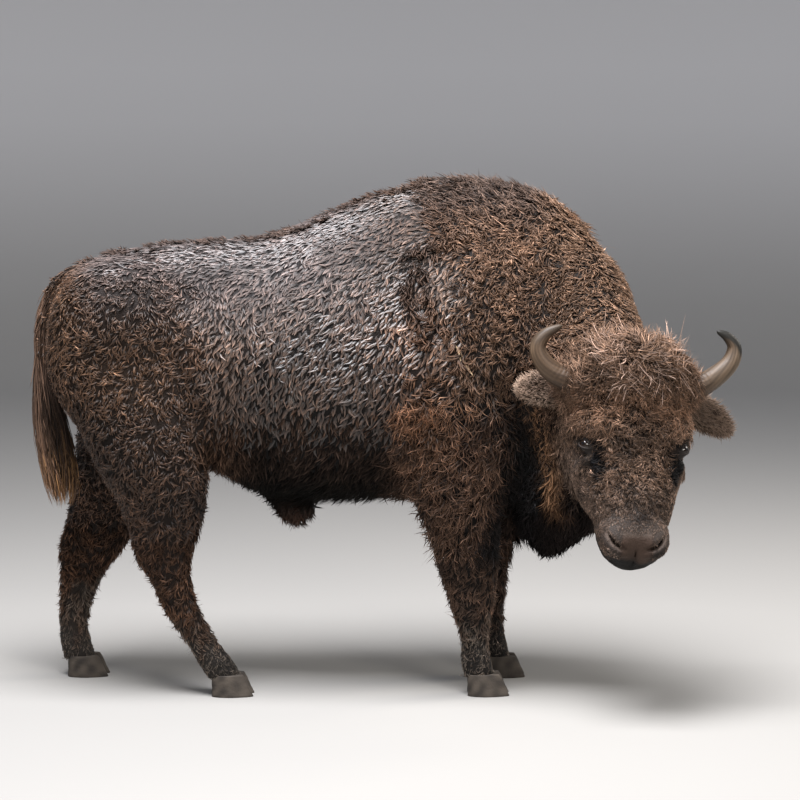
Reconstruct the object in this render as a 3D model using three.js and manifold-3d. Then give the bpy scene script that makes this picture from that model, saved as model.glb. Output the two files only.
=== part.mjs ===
// A life-size European bison bull, standing, with its head lowered and turned to its right.
// Millimetres. +X runs from tail to head, +Y to the animal's left, +Z up; the hooves stand on z = 0.
// The flesh is one implicit field, negative inside, whose zero surface is the outside of the coat.
// Each node is that surface meshed at its own cell size and parted from its neighbours by thin cuts.
import * as THREE from "three";
import { mergeVertices } from "three/addons/utils/BufferGeometryUtils.js";
import Module from "manifold-3d";

const wasm = await Module();
wasm.setup();

// ---------- driving sizes ----------
const GAP = 0.4; // between neighbouring solids
const EAR_GAP = 1.5; // round the root of an ear
const SHIFT = [64, 158, 0]; // moves the hump's frame so that the box's centre is over the origin

// Trunk sections along x: back line, belly line, half width, height of the widest point.
const TRUNK = [
  { x: -1130, top: 1350, belly: 1130, half: 95, wide: 1230 },
  { x: -1080, top: 1404, belly: 1010, half: 165, wide: 1215 },
  { x: -980, top: 1445, belly: 900, half: 225, wide: 1200 },
  { x: -820, top: 1478, belly: 800, half: 272, wide: 1180 },
  { x: -630, top: 1498, belly: 738, half: 296, wide: 1140 },
  { x: -430, top: 1518, belly: 652, half: 326, wide: 1080 },
  { x: -230, top: 1598, belly: 628, half: 345, wide: 1050 },
  { x: -30, top: 1672, belly: 634, half: 345, wide: 1040 },
  { x: 170, top: 1704, belly: 610, half: 325, wide: 1040 },
  { x: 360, top: 1684, belly: 570, half: 300, wide: 1050 },
  { x: 500, top: 1634, belly: 600, half: 262, wide: 1090 },
  { x: 600, top: 1535, belly: 700, half: 200, wide: 1120 },
];
const BACK_POWER = 1.75; // below 2 the back narrows to a ridge
const BELLY_POWER = 2.2;

// Leg sections by height: centre x and y, half length fore and aft, half width. Right legs are at -y.
const FORE_RIGHT = [
  { z: 60, x: 262, y: -150, long: 53, half: 50 },
  { z: 100, x: 252, y: -150, long: 54, half: 50 },
  { z: 170, x: 246, y: -152, long: 49, half: 42 },
  { z: 240, x: 240, y: -156, long: 59, half: 46 },
  { z: 305, x: 235, y: -160, long: 77, half: 57 },
  { z: 400, x: 225, y: -168, long: 97, half: 68 },
  { z: 510, x: 214, y: -182, long: 116, half: 86 },
  { z: 650, x: 190, y: -196, long: 146, half: 108 },
  { z: 800, x: 190, y: -190, long: 190, half: 125 },
  { z: 960, x: 215, y: -160, long: 190, half: 120 },
];
const FORE_LEFT = FORE_RIGHT.map((s) => ({
  ...s,
  x: s.x + 68 - 0.04 * s.z,
  y: -s.y,
}));
const HIND_RIGHT = [
  { z: 60, x: -578, y: -160, long: 60, half: 52 },
  { z: 110, x: -606, y: -162, long: 62, half: 50 },
  { z: 180, x: -652, y: -166, long: 55, half: 42 },
  { z: 300, x: -720, y: -172, long: 62, half: 46 },
  { z: 395, x: -752, y: -176, long: 72, half: 52 },
  { z: 460, x: -770, y: -178, long: 96, half: 58 },
  { z: 560, x: -766, y: -184, long: 126, half: 76 },
  { z: 685, x: -775, y: -190, long: 158, half: 102 },
  { z: 770, x: -800, y: -190, long: 186, half: 122 },
  { z: 890, x: -836, y: -182, long: 212, half: 132 },
  { z: 1060, x: -872, y: -165, long: 222, half: 130 },
  { z: 1200, x: -885, y: -140, long: 200, half: 115 },
];
const HIND_LEFT = [
  { z: 60, x: -1090, y: 160, long: 58, half: 52 },
  { z: 110, x: -1104, y: 162, long: 56, half: 50 },
  { z: 180, x: -1112, y: 166, long: 52, half: 42 },
  { z: 280, x: -1100, y: 172, long: 64, half: 46 },
  { z: 365, x: -1078, y: 176, long: 84, half: 52 },
  { z: 430, x: -1052, y: 178, long: 112, half: 60 },
  { z: 530, x: -1012, y: 184, long: 128, half: 78 },
  { z: 650, x: -970, y: 190, long: 150, half: 102 },
  { z: 770, x: -925, y: 190, long: 180, half: 122 },
  { z: 890, x: -890, y: 182, long: 205, half: 132 },
  { z: 1060, x: -885, y: 165, long: 220, half: 130 },
  { z: 1200, x: -885, y: 140, long: 200, half: 115 },
];
const TOP_OF_HOOF = 72;

// The head's own axes: t from poll to nose, w to its left, n out of the forehead.
const HEAD_AT = [750, -480, 1143];
const HEAD_YAW = THREE.MathUtils.degToRad(7); // from facing -y towards +x
const HEAD_PITCH = THREE.MathUtils.degToRad(71.8); // nose below the horizon
const HEAD_ROLL = THREE.MathUtils.degToRad(4.1); // left side lower
const EYE = { t: 277, w: 152, n: -74, radius: 22 };
const NOSTRIL = { t: 588, w: 62, n: -16 };
// Horns from root to tip, each in t, w outwards, n.
const HORN_RADIUS = 44;
const HORNS = {
  right: [
    [82, 120, -104],
    [69, 199, -94],
    [48, 255, -88],
    [11, 296, -78],
    [-30, 312, -66],
    [-67, 290, -52],
    [-94, 243, -38],
  ],
  left: [
    [88, 120, -104],
    [67, 200, -94],
    [29, 263, -88],
    [-17, 309, -78],
    [-64, 320, -66],
    [-93, 296, -52],
    [-108, 258, -40],
  ],
};

// ---------- small vector helpers ----------
const scaled = (v, s) => v.map((c) => c * s);
const sum = (...vs) => vs.reduce((a, b) => a.map((c, i) => c + b[i]));
const minus = (a, b) => a.map((c, i) => c - b[i]);
const dot = (a, b) => a[0] * b[0] + a[1] * b[1] + a[2] * b[2];
const cross = (a, b) => [
  a[1] * b[2] - a[2] * b[1],
  a[2] * b[0] - a[0] * b[2],
  a[0] * b[1] - a[1] * b[0],
];
const unit = (v) => scaled(v, 1 / Math.hypot(...v));

// ---------- field helpers ----------
function smoothMin(a, b, k) {
  const h = Math.max(k - Math.abs(a - b), 0) / k;
  return Math.min(a, b) - (h * h * k) / 4;
}
const smoothMax = (a, b, k) => -smoothMin(-a, -b, k);

// Distance from an ellipsoid, near enough for blending; p is taken from its centre, on its axes.
function ellipsoid(p, radii) {
  const k0 = Math.hypot(p[0] / radii[0], p[1] / radii[1], p[2] / radii[2]);
  const k1 = Math.hypot(
    p[0] / radii[0] ** 2,
    p[1] / radii[1] ** 2,
    p[2] / radii[2] ** 2,
  );
  return k1 < 1e-9 ? -Math.min(...radii) : (k0 * (k0 - 1)) / k1;
}

// A tapered capsule from a to b.
function limb(p, a, b, radiusA, radiusB) {
  const ab = minus(b, a);
  const pa = minus(p, a);
  const h = THREE.MathUtils.clamp(dot(pa, ab) / dot(ab, ab), 0, 1);
  return (
    Math.hypot(...minus(pa, scaled(ab, h))) - radiusA - (radiusB - radiusA) * h
  );
}

// Smooth curve through the stations' values of one key, along another.
function curveThrough(stations, along, key) {
  const at = stations.map((s) => s[along]);
  const value = stations.map((s) => s[key]);
  const last = at.length - 1;
  const slope = at.map((_, i) => {
    const a = Math.max(i - 1, 0);
    const b = Math.min(i + 1, last);
    return (value[b] - value[a]) / (at[b] - at[a]);
  });
  return (v) => {
    if (v <= at[0]) return value[0];
    if (v >= at[last]) return value[last];
    let i = 0;
    while (v > at[i + 1]) i++;
    const step = at[i + 1] - at[i];
    const u = (v - at[i]) / step;
    return (
      value[i] * (1 + 2 * u) * (1 - u) ** 2 +
      value[i + 1] * u * u * (3 - 2 * u) +
      step * u * (1 - u) * (slope[i] * (1 - u) - slope[i + 1] * u)
    );
  };
}

// Radial distance from a superellipse, at offsets a and b from its centre.
function section(a, b, radiusA, radiusB, power) {
  const reach = Math.hypot(a, b);
  const g =
    (Math.abs(a / radiusA) ** power + Math.abs(b / radiusB) ** power) **
    (1 / power);
  return g < 1e-6
    ? -Math.min(radiusA, radiusB)
    : Math.max(reach * (1 - 1 / g), -Math.min(radiusA, radiusB));
}

// Outside the end of a lofted shape, distance along the loft counts too.
const beyond = (across, past) =>
  past <= 0 ? across : Math.hypot(Math.max(across, 0), past);

// ---------- trunk, hump and rump ----------
const trunkAt = Object.fromEntries(
  ["top", "belly", "half", "wide"].map((key) => [
    key,
    curveThrough(TRUNK, "x", key),
  ]),
);
function trunkField([x, y, z]) {
  const wide = trunkAt.wide(x);
  const up = z > wide;
  const height = up ? trunkAt.top(x) - wide : wide - trunkAt.belly(x);
  const across = section(
    y,
    z - wide,
    trunkAt.half(x),
    height,
    up ? BACK_POWER : BELLY_POWER,
  );
  const past = Math.max(TRUNK[0].x - x, x - TRUNK[TRUNK.length - 1].x);
  return beyond(across, past);
}
// Hip bones, buttocks, shoulder blades, brisket and the tuft of long hair under the belly.
const MASSES = [
  { at: [-900, 150, 1240], radii: [215, 165, 190] },
  { at: [-1000, 130, 1130], radii: [155, 150, 240] },
  { at: [250, 175, 1080], radii: [240, 165, 380] },
];
const MIDLINE_MASSES = [
  { at: [430, 0, 720], radii: [170, 150, 190] },
  { at: [-352, 0, 650], radii: [80, 52, 100] },
];
function bodyMasses([x, y, z]) {
  let d = Infinity;
  for (const { at, radii } of MASSES)
    d = smoothMin(
      d,
      ellipsoid([x - at[0], Math.abs(y) - at[1], z - at[2]], radii),
      60,
    );
  for (const { at, radii } of MIDLINE_MASSES)
    d = smoothMin(d, ellipsoid(minus([x, y, z], at), radii), 60);
  return d;
}

// ---------- legs ----------
function legField(stations) {
  const at = Object.fromEntries(
    ["x", "y", "long", "half"].map((key) => [
      key,
      curveThrough(stations, "z", key),
    ]),
  );
  const low = stations[0].z;
  const high = stations[stations.length - 1].z;
  return ([x, y, z]) =>
    beyond(
      section(x - at.x(z), y - at.y(z), at.long(z), at.half(z), 2.2),
      Math.max(low - z, z - high),
    );
}
const LEGS = {
  fore_leg_right: FORE_RIGHT,
  fore_leg_left: FORE_LEFT,
  hind_leg_right: HIND_RIGHT,
  hind_leg_left: HIND_LEFT,
};
const legFields = Object.values(LEGS).map(legField);

// ---------- neck and its throat mane ----------
const NECK = [
  { at: [535, -40, 1165], radii: [205, 225, 385] },
  { at: [615, -150, 1105], radii: [183, 212, 350] },
  { at: [650, -290, 1010], radii: [180, 190, 300] },
  { at: [590, -215, 800], radii: [150, 165, 250] },
  { at: [500, -200, 640], radii: [120, 95, 160] },
];
function neckField(p) {
  let d = Infinity;
  for (const { at, radii } of NECK)
    d = smoothMin(d, ellipsoid(minus(p, at), radii), 90);
  return d;
}

// ---------- head ----------
const heading = [Math.sin(HEAD_YAW), -Math.cos(HEAD_YAW), 0];
const level = [Math.cos(HEAD_YAW), Math.sin(HEAD_YAW), 0];
const rolledUp = [...scaled(level, Math.sin(HEAD_ROLL)).slice(0, 2), Math.cos(HEAD_ROLL)];
const headLeft = cross(rolledUp, heading);
const headNose = sum(
  scaled(heading, Math.cos(HEAD_PITCH)),
  scaled(rolledUp, -Math.sin(HEAD_PITCH)),
);
const headFront = cross(headNose, headLeft);
// Turns a point of the world into the head's t, w, n, and back.
function toHead(p) {
  const d = minus(p, HEAD_AT);
  return [dot(d, headNose), dot(d, headLeft), dot(d, headFront)];
}
const fromHead = ([t, w, n]) =>
  sum(HEAD_AT, scaled(headNose, t), scaled(headLeft, w), scaled(headFront, n));

// Paired masses have w > 0 and stand on both sides.
const HEAD_MASSES = [
  { at: [62, 0, -115], radii: [172, 193, 146] }, // crown
  { at: [170, 0, -116], radii: [165, 182, 132] }, // forehead hair
  { at: [232, 104, -104], radii: [88, 82, 80] }, // brow and orbit
  { at: [355, 0, -118], radii: [215, 150, 112] }, // bridge of the face
  { at: [455, 0, -108], radii: [160, 122, 98] },
  { at: [312, 92, -196], radii: [165, 88, 118] }, // cheek and jaw angle
  { at: [556, 0, -96], radii: [88, 102, 88] }, // muzzle
  { at: [574, 62, -56], radii: [50, 44, 40] }, // nostril wings
  { at: [602, 0, -110], radii: [42, 70, 48] }, // upper lip
  { at: [580, 0, -158], radii: [66, 56, 42] }, // chin
  { at: [62, 158, -112], radii: [60, 60, 62] }, // collar of hair round the horn
];
const HEAD_BLEND = 42;
function headField(p) {
  const [t, w, n] = toHead(p);
  const side = Math.abs(w);
  let d = limb([t, side, n], [330, 60, -222], [560, 26, -152], 88, 44);
  for (const { at, radii } of HEAD_MASSES)
    d = smoothMin(
      d,
      ellipsoid([t - at[0], side - at[1], n - at[2]], radii),
      HEAD_BLEND,
    );
  // The orbit is a shallow bowl round the eye.
  const orbit = ellipsoid(
    [t - EYE.t - 8, side - EYE.w - 24, n - EYE.n - 14],
    [40, 26, 34],
  );
  return smoothMax(d, -orbit, 16);
}

function bodyField(p) {
  let d = smoothMin(trunkField(p), bodyMasses(p), 70);
  for (const leg of legFields) d = smoothMin(d, leg(p), 55);
  d = smoothMin(d, neckField(p), 90);
  return smoothMin(d, headField(p), 60);
}

// ---------- surface of a field inside a box, as quads with one vertex in each crossed cell ----------
const STEP = 2; // for the field's slope
// Slides a point onto the field's surface, but never out of its own cell.
function onSurface(field, p, low, high) {
  let q = p;
  for (let i = 0; i < 4; i++) {
    const d = field(q);
    const slope = [0, 1, 2].map((k) => {
      const a = [...q];
      const b = [...q];
      a[k] -= STEP;
      b[k] += STEP;
      return (field(b) - field(a)) / (2 * STEP);
    });
    const steep = dot(slope, slope);
    if (steep < 0.05) return p;
    q = minus(q, scaled(slope, d / steep));
    q = q.map((v, k) => THREE.MathUtils.clamp(v, low[k], high[k]));
  }
  return q;
}
function surfaceOf(field, low, high, cell) {
  const count = low.map((v, k) => Math.ceil((high[k] - v) / cell[k]) + 1);
  const [nx, ny, nz] = count;
  const index = (i, j, k) => (i * ny + j) * nz + k;
  const point = (i, j, k) => [
    low[0] + i * cell[0],
    low[1] + j * cell[1],
    low[2] + k * cell[2],
  ];
  const edge = (i, j, k) =>
    i < 1 || j < 1 || k < 1 || i > nx - 2 || j > ny - 2 || k > nz - 2;
  const value = new Float64Array(nx * ny * nz);
  for (let i = 0; i < nx; i++)
    for (let j = 0; j < ny; j++)
      for (let k = 0; k < nz; k++)
        value[index(i, j, k)] = edge(i, j, k) ? 1 : field(point(i, j, k));
  const corners = [0, 1, 2, 3, 4, 5, 6, 7].map((c) => [c & 1, (c >> 1) & 1, c >> 2]);
  const vertexOf = new Map();
  const positions = [];
  for (let i = 0; i < nx - 1; i++)
    for (let j = 0; j < ny - 1; j++)
      for (let k = 0; k < nz - 1; k++) {
        const crossings = [];
        corners.forEach((a, ca) =>
          corners.forEach((b, cb) => {
            const apart = ca ^ cb;
            if (cb <= ca || (apart !== 1 && apart !== 2 && apart !== 4)) return;
            const va = value[index(i + a[0], j + a[1], k + a[2])];
            const vb = value[index(i + b[0], j + b[1], k + b[2])];
            if (va < 0 === vb < 0) return;
            const f = va / (va - vb);
            crossings.push(a.map((v, m) => v + f * (b[m] - v)));
          }),
        );
        if (!crossings.length) continue;
        const mean = scaled(sum(...crossings), 1 / crossings.length);
        let p = point(i + mean[0], j + mean[1], k + mean[2]);
        const clear = i > 0 && j > 0 && k > 0 && i < nx - 2 && j < ny - 2 && k < nz - 2;
        if (clear) p = onSurface(field, p, point(i + 0.04, j + 0.04, k + 0.04), point(i + 0.96, j + 0.96, k + 0.96));
        vertexOf.set(index(i, j, k), positions.length / 3);
        positions.push(...p);
      }
  const faces = [];
  const quad = (a, b, c, d, flip) => {
    const [p, q, r, s] = [a, b, c, d].map((cellIndex) => vertexOf.get(cellIndex));
    if (flip) faces.push(p, q, r, p, r, s);
    else faces.push(p, r, q, p, s, r);
  };
  for (let i = 0; i < nx - 1; i++)
    for (let j = 0; j < ny - 1; j++)
      for (let k = 0; k < nz - 1; k++) {
        const inside = value[index(i, j, k)] < 0;
        if (j && k && inside !== value[index(i + 1, j, k)] < 0)
          quad(index(i, j - 1, k - 1), index(i, j, k - 1), index(i, j, k), index(i, j - 1, k), inside);
        if (i && k && inside !== value[index(i, j + 1, k)] < 0)
          quad(index(i - 1, j, k - 1), index(i - 1, j, k), index(i, j, k), index(i, j, k - 1), inside);
        if (i && j && inside !== value[index(i, j, k + 1)] < 0)
          quad(index(i - 1, j - 1, k), index(i, j - 1, k), index(i, j, k), index(i - 1, j, k), inside);
      }
  return solidFrom(positions, faces);
}

// ---------- solids, cuts and meshes ----------
function solidFrom(positions, faces) {
  return new wasm.Manifold(
    new wasm.Mesh({
      numProp: 3,
      vertProperties: Float32Array.from(positions),
      triVerts: Uint32Array.from(faces),
    }),
  );
}
function solidOfGeometry(geometry) {
  const bare = geometry.clone();
  bare.deleteAttribute("normal");
  bare.deleteAttribute("uv");
  const merged = mergeVertices(bare, 1e-3);
  return solidFrom(merged.attributes.position.array, merged.index.array);
}
const FAR = 4000;
// The half space behind a plane: everything on the side away from its normal.
function behind(point, normal) {
  const box = new THREE.BoxGeometry(FAR, FAR, FAR).translate(0, 0, -FAR / 2);
  const turn = new THREE.Quaternion().setFromUnitVectors(
    new THREE.Vector3(0, 0, 1),
    new THREE.Vector3(...unit(normal)),
  );
  return solidOfGeometry(box.applyQuaternion(turn).translate(...point));
}
// The two sides of a thin cut: what lies before the plane, and what lies behind it.
const cut = (point, normal) => ({
  back: behind(minus(point, scaled(unit(normal), GAP / 2)), normal),
  front: behind(
    sum(point, scaled(unit(normal), GAP / 2)),
    scaled(normal, -1),
  ),
});
function block(low, high) {
  const size = minus(high, low);
  const box = new THREE.BoxGeometry(...size).translate(
    ...scaled(sum(low, high), 0.5),
  );
  return solidOfGeometry(box);
}
// The largest connected piece of a solid: cuts can leave chips beside it.
function largest(solid) {
  const { numProp, vertProperties, triVerts } = solid.getMesh();
  const parent = Array.from({ length: vertProperties.length / numProp }, (_, i) => i);
  const rootOf = (i) => {
    while (parent[i] !== i) {
      parent[i] = parent[parent[i]];
      i = parent[i];
    }
    return i;
  };
  for (let t = 0; t < triVerts.length; t += 3)
    for (const other of [1, 2]) parent[rootOf(triVerts[t + other])] = rootOf(triVerts[t]);
  const size = new Map();
  for (const v of triVerts) size.set(rootOf(v), (size.get(rootOf(v)) ?? 0) + 1);
  const keep = [...size].sort((a, b) => b[1] - a[1])[0][0];
  const renumbered = new Map();
  const positions = [];
  const faces = [];
  for (const v of triVerts) {
    if (rootOf(v) !== keep) continue;
    if (!renumbered.has(v)) {
      renumbered.set(v, renumbered.size);
      positions.push(...vertProperties.slice(v * numProp, v * numProp + 3));
    }
    faces.push(renumbered.get(v));
  }
  return solidFrom(positions, faces);
}

// ---------- where the body is parted ----------
const NECK_CUT = cut([470, -60, 1100], [0.93, -0.36, 0.05]);
const HEAD_CUT = cut(
  fromHead([-60, 0, -60]),
  sum(scaled(headNose, 0.57), scaled(headFront, 0.82)),
);
const FLOOR = behind([0, 0, TOP_OF_HOOF], [0, 0, -1]);
const legBox = {
  fore_leg_right: [[-40, -420, 0], [440, -8, 640]],
  fore_leg_left: [[-40, 8, 0], [440, 420, 640]],
  hind_leg_right: [[-1400, -420, 0], [-430, -8, 1010]],
  hind_leg_left: [[-1400, 8, 0], [-430, 420, 1010]],
};
// Each leg parts from the trunk on a slope that rises outwards, as the armpit and the groin do.
const legCut = {
  fore_leg_right: cut([190, -190, 585], [0.1, 0.5, 1]),
  fore_leg_left: cut([230, 190, 585], [0.1, -0.5, 1]),
  hind_leg_right: cut([-800, -190, 760], [0.2, 0.6, 1]),
  hind_leg_left: cut([-900, 190, 760], [-0.1, -0.6, 1]),
};

const flesh = (low, high, cell) => surfaceOf(bodyField, low, high, cell);

function legSolid(name) {
  const [low, high] = legBox[name];
  return largest(
    flesh(low.map((v, k) => v - [60, 60, 90][k]), high.map((v) => v + 60), [45, 43, 62])
      .intersect(block(low, high))
      .intersect(legCut[name].back)
      .intersect(FLOOR),
  );
}
function trunkSolid() {
  let solid = flesh([-1300, -480, 420], [700, 480, 1800], [112, 82, 87]).intersect(NECK_CUT.back);
  for (const [name, [low, high]] of Object.entries(legBox)) {
    const grown = block(
      low.map((v) => v - GAP),
      high.map((v) => v + GAP),
    );
    solid = solid.subtract(grown.subtract(legCut[name].front));
  }
  return largest(solid);
}
function neckSolid() {
  return largest(
    flesh([330, -620, 380], [960, 420, 1760], [58, 56, 61])
      .intersect(NECK_CUT.front)
      .intersect(HEAD_CUT.back),
  );
}
function headSolid(sockets) {
  let solid = flesh([340, -900, 330], [1140, -180, 1360], [36, 36, 36])
    .intersect(HEAD_CUT.front)
    .intersect(NECK_CUT.front);
  for (const socket of sockets) solid = solid.subtract(socket);
  return largest(solid);
}

// ---------- eyes, nostrils and mouth ----------
function ball(at, radii, across = 9, down = 7) {
  const basis = new THREE.Matrix4().makeBasis(
    new THREE.Vector3(...headNose),
    new THREE.Vector3(...headLeft),
    new THREE.Vector3(...headFront),
  );
  const shape = new THREE.SphereGeometry(1, across, down)
    .scale(...radii)
    .applyMatrix4(basis)
    .translate(...fromHead(at));
  return shape;
}
const SIDES = { right: -1, left: 1 };
const eyeBall = (side, extra) =>
  ball([EYE.t, side * EYE.w, EYE.n], Array(3).fill(EYE.radius + extra));
const nostrilHole = (side) =>
  ball([NOSTRIL.t, side * NOSTRIL.w, NOSTRIL.n], [22, 13, 26], 12, 8);
const mouthSlit = () => ball([600, 0, -118], [70, 92, 5], 18, 6);

// ---------- horns and tail: round tubes that taper along a curve ----------
function taperedTube(points, radiusAt, rings, sides, flatten = 1) {
  const curve = new THREE.CatmullRomCurve3(points.map((p) => new THREE.Vector3(...p)));
  const frames = curve.computeFrenetFrames(rings, false);
  const positions = [];
  for (let r = 0; r <= rings; r++) {
    const centre = curve.getPointAt(r / rings);
    for (let s = 0; s < sides; s++) {
      const a = (2 * Math.PI * s) / sides;
      const p = centre
        .clone()
        .addScaledVector(frames.normals[r], Math.cos(a) * radiusAt(r / rings))
        .addScaledVector(frames.binormals[r], Math.sin(a) * radiusAt(r / rings) * flatten);
      positions.push(p.x, p.y, p.z);
    }
  }
  const start = curve.getPointAt(0);
  const end = curve.getPointAt(1);
  positions.push(start.x, start.y, start.z, end.x, end.y, end.z);
  const first = (rings + 1) * sides;
  const faces = [];
  for (let s = 0; s < sides; s++) {
    const next = (s + 1) % sides;
    for (let r = 0; r < rings; r++) {
      const a = r * sides + s;
      const b = r * sides + next;
      faces.push(a, b, b + sides, a, b + sides, a + sides);
    }
    faces.push(first, next, s, first + 1, rings * sides + s, rings * sides + next);
  }
  return { positions, faces };
}
// A path whose first point is moved back along its own direction.
const startedEarlier = ([first, second, ...rest], by) => [
  minus(first, scaled(unit(minus(second, first)), by)),
  second,
  ...rest,
];
const hornPath = (name) =>
  HORNS[name].map(([t, w, n]) => fromHead([t, SIDES[name] * w, n]));
const hornRadius = (extra) => (s) =>
  extra + HORN_RADIUS * (1 - s) ** 0.6 * (1 + 0.15 * s) + 4 * s;
function hornSolid(name, extra) {
  const path = startedEarlier(hornPath(name), extra);
  const { positions, faces } = taperedTube(path, hornRadius(extra), 12, 10);
  return solidFrom(positions, faces);
}

const TAIL_PATH = [
  [-1085, 0, 1375],
  [-1140, 0, 1330],
  [-1176, 0, 1220],
  [-1180, -6, 1080],
  [-1160, -14, 900],
  [-1130, -20, 740],
  [-1112, -24, 610],
];
const tailRadius = (extra) => (s) =>
  extra + 34 + 40 * THREE.MathUtils.smoothstep(s, 0.35, 0.75) * (1 - THREE.MathUtils.smoothstep(s, 0.72, 1) * 0.8);
function tailSolid(extra) {
  const path = startedEarlier(TAIL_PATH, extra);
  const { positions, faces } = taperedTube(path, tailRadius(extra), 13, 9, 0.8);
  return solidFrom(positions, faces);
}

// ---------- ears: a leaf with a hollow front, held out below and behind the horn ----------
const EAR = { long: 84, wide: 50, thick: 14, hollow: 20 };
const EARS = {
  right: { side: -1, root: [72, 216, -190], droop: 0.04 },
  left: { side: 1, root: [110, 226, -190], droop: 0.6 }, // hangs lower
};
function earSolid({ side, root, droop }, extra) {
  const out = unit([droop, 1, -0.1]);
  const facing = unit([0.1, 0.1, 1]);
  const across = unit(cross(facing, out));
  const leaf = new THREE.SphereGeometry(1, 14, 9);
  const place = leaf.attributes.position;
  for (let i = 0; i < place.count; i++) {
    const [a, c, b] = [place.getX(i), place.getY(i), place.getZ(i)];
    const along = EAR.long * 0.55 + a * (EAR.long + extra);
    const sideways = b * (EAR.wide * (1 - 0.2 * a) + extra);
    const through = c * (EAR.thick + extra) - EAR.hollow * c * c;
    const [t, w, n] = sum(
      root,
      scaled(out, along),
      scaled(across, sideways),
      scaled(facing, through),
    );
    place.setXYZ(i, ...fromHead([t, side * w, n]));
  }
  if (side > 0) leaf.setIndex([...leaf.index.array].reverse());
  return solidOfGeometry(leaf);
}

// ---------- hooves: two claws on each foot, flat on the floor ----------
const CLAW = { long: 76, half: 28, heel: 62 };
function clawSolid(station, forward, side) {
  // Outline in plan, from the heel round the toe, then drawn in towards the coronet.
  const rings = [
    { z: 0, grow: 1 },
    { z: 12, grow: 0.99 },
    { z: TOP_OF_HOOF - GAP, grow: 0.76 },
  ];
  const steps = 12;
  const positions = [];
  for (const { z, grow } of rings)
    for (let s = 0; s < steps; s++) {
      const a = (2 * Math.PI * s) / steps;
      const toe = Math.cos(a) > 0 ? CLAW.long : CLAW.heel;
      const lean = ((TOP_OF_HOOF - z) / TOP_OF_HOOF) * 14;
      positions.push(
        station.x + forward + Math.cos(a) * toe * grow + lean,
        station.y + side * (CLAW.half + 1.5) + Math.sin(a) * CLAW.half * grow * (1 - 0.22 * Math.max(Math.cos(a), 0)),
        z,
      );
    }
  const faces = [];
  const top = (rings.length - 1) * steps;
  for (let s = 0; s < steps; s++) {
    const next = (s + 1) % steps;
    for (let r = 0; r < rings.length - 1; r++) {
      const a = r * steps + s;
      const b = r * steps + next;
      faces.push(a, b, b + steps, a, b + steps, a + steps);
    }
    if (s && next) faces.push(0, next, s, top, top + s, top + next);
  }
  return solidFrom(positions, faces);
}

// ---------- colours ----------
const coat = (r, g, b) =>
  new THREE.MeshStandardMaterial({ color: new THREE.Color(r, g, b), roughness: 0.85, metalness: 0 });
const MATERIALS = {
  body: coat(0.09, 0.055, 0.035),
  head: coat(0.12, 0.07, 0.042),
  dark: coat(0.045, 0.03, 0.022),
  horn: new THREE.MeshStandardMaterial({ color: new THREE.Color(0.2, 0.17, 0.14), roughness: 0.45 }),
  hoof: new THREE.MeshStandardMaterial({ color: new THREE.Color(0.05, 0.045, 0.04), roughness: 0.6 }),
  eye: new THREE.MeshStandardMaterial({ color: new THREE.Color(0.015, 0.01, 0.008), roughness: 0.08 }),
};

// ---------- assembly ----------
const animal = new THREE.Group();
animal.position.set(...SHIFT);
function add(name, solid, material) {
  const { numProp, vertProperties, triVerts } = solid.getMesh();
  const geometry = new THREE.BufferGeometry()
    .setAttribute("position", new THREE.BufferAttribute(Float32Array.from(vertProperties), numProp))
    .setIndex(new THREE.BufferAttribute(Uint32Array.from(triVerts), 1));
  geometry.computeVertexNormals();
  const mesh = new THREE.Mesh(geometry, material);
  mesh.name = name;
  animal.add(mesh);
}

const sockets = [solidOfGeometry(mouthSlit())];
for (const [name, side] of Object.entries(SIDES))
  sockets.push(
    solidOfGeometry(eyeBall(side, GAP)),
    solidOfGeometry(nostrilHole(side)),
    hornSolid(name, GAP),
    earSolid(EARS[name], EAR_GAP),
  );
const head = headSolid(sockets);
let neck = neckSolid();
for (const ear of Object.values(EARS)) neck = neck.subtract(earSolid(ear, EAR_GAP));
const trunk = trunkSolid();
add("head", head, MATERIALS.head);
add("neck", largest(neck), MATERIALS.body);
add("trunk", largest(trunk.subtract(tailSolid(GAP))), MATERIALS.body);
for (const name of Object.keys(LEGS)) {
  const leg = legSolid(name);
  add(name, name.startsWith("hind") ? largest(leg.subtract(tailSolid(GAP))) : leg, MATERIALS.dark);
  const foot = LEGS[name][0];
  const forward = 8;
  add(name.replace("leg", "claw") + "_inner", clawSolid(foot, forward, foot.y > 0 ? -1 : 1), MATERIALS.hoof);
  add(name.replace("leg", "claw") + "_outer", clawSolid(foot, forward, foot.y > 0 ? 1 : -1), MATERIALS.hoof);
}
add("tail", tailSolid(0), MATERIALS.dark);
for (const [name, side] of Object.entries(SIDES)) {
  add("horn_" + name, hornSolid(name, 0), MATERIALS.horn);
  add("ear_" + name, earSolid(EARS[name], 0), MATERIALS.head);
  add("eye_" + name, solidOfGeometry(eyeBall(side, 0)), MATERIALS.eye);
}

export default animal;
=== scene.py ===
"""Looks of the European bison bull: one skin, a coat of joined locks over it, eyes, horns and hooves."""

import math

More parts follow.
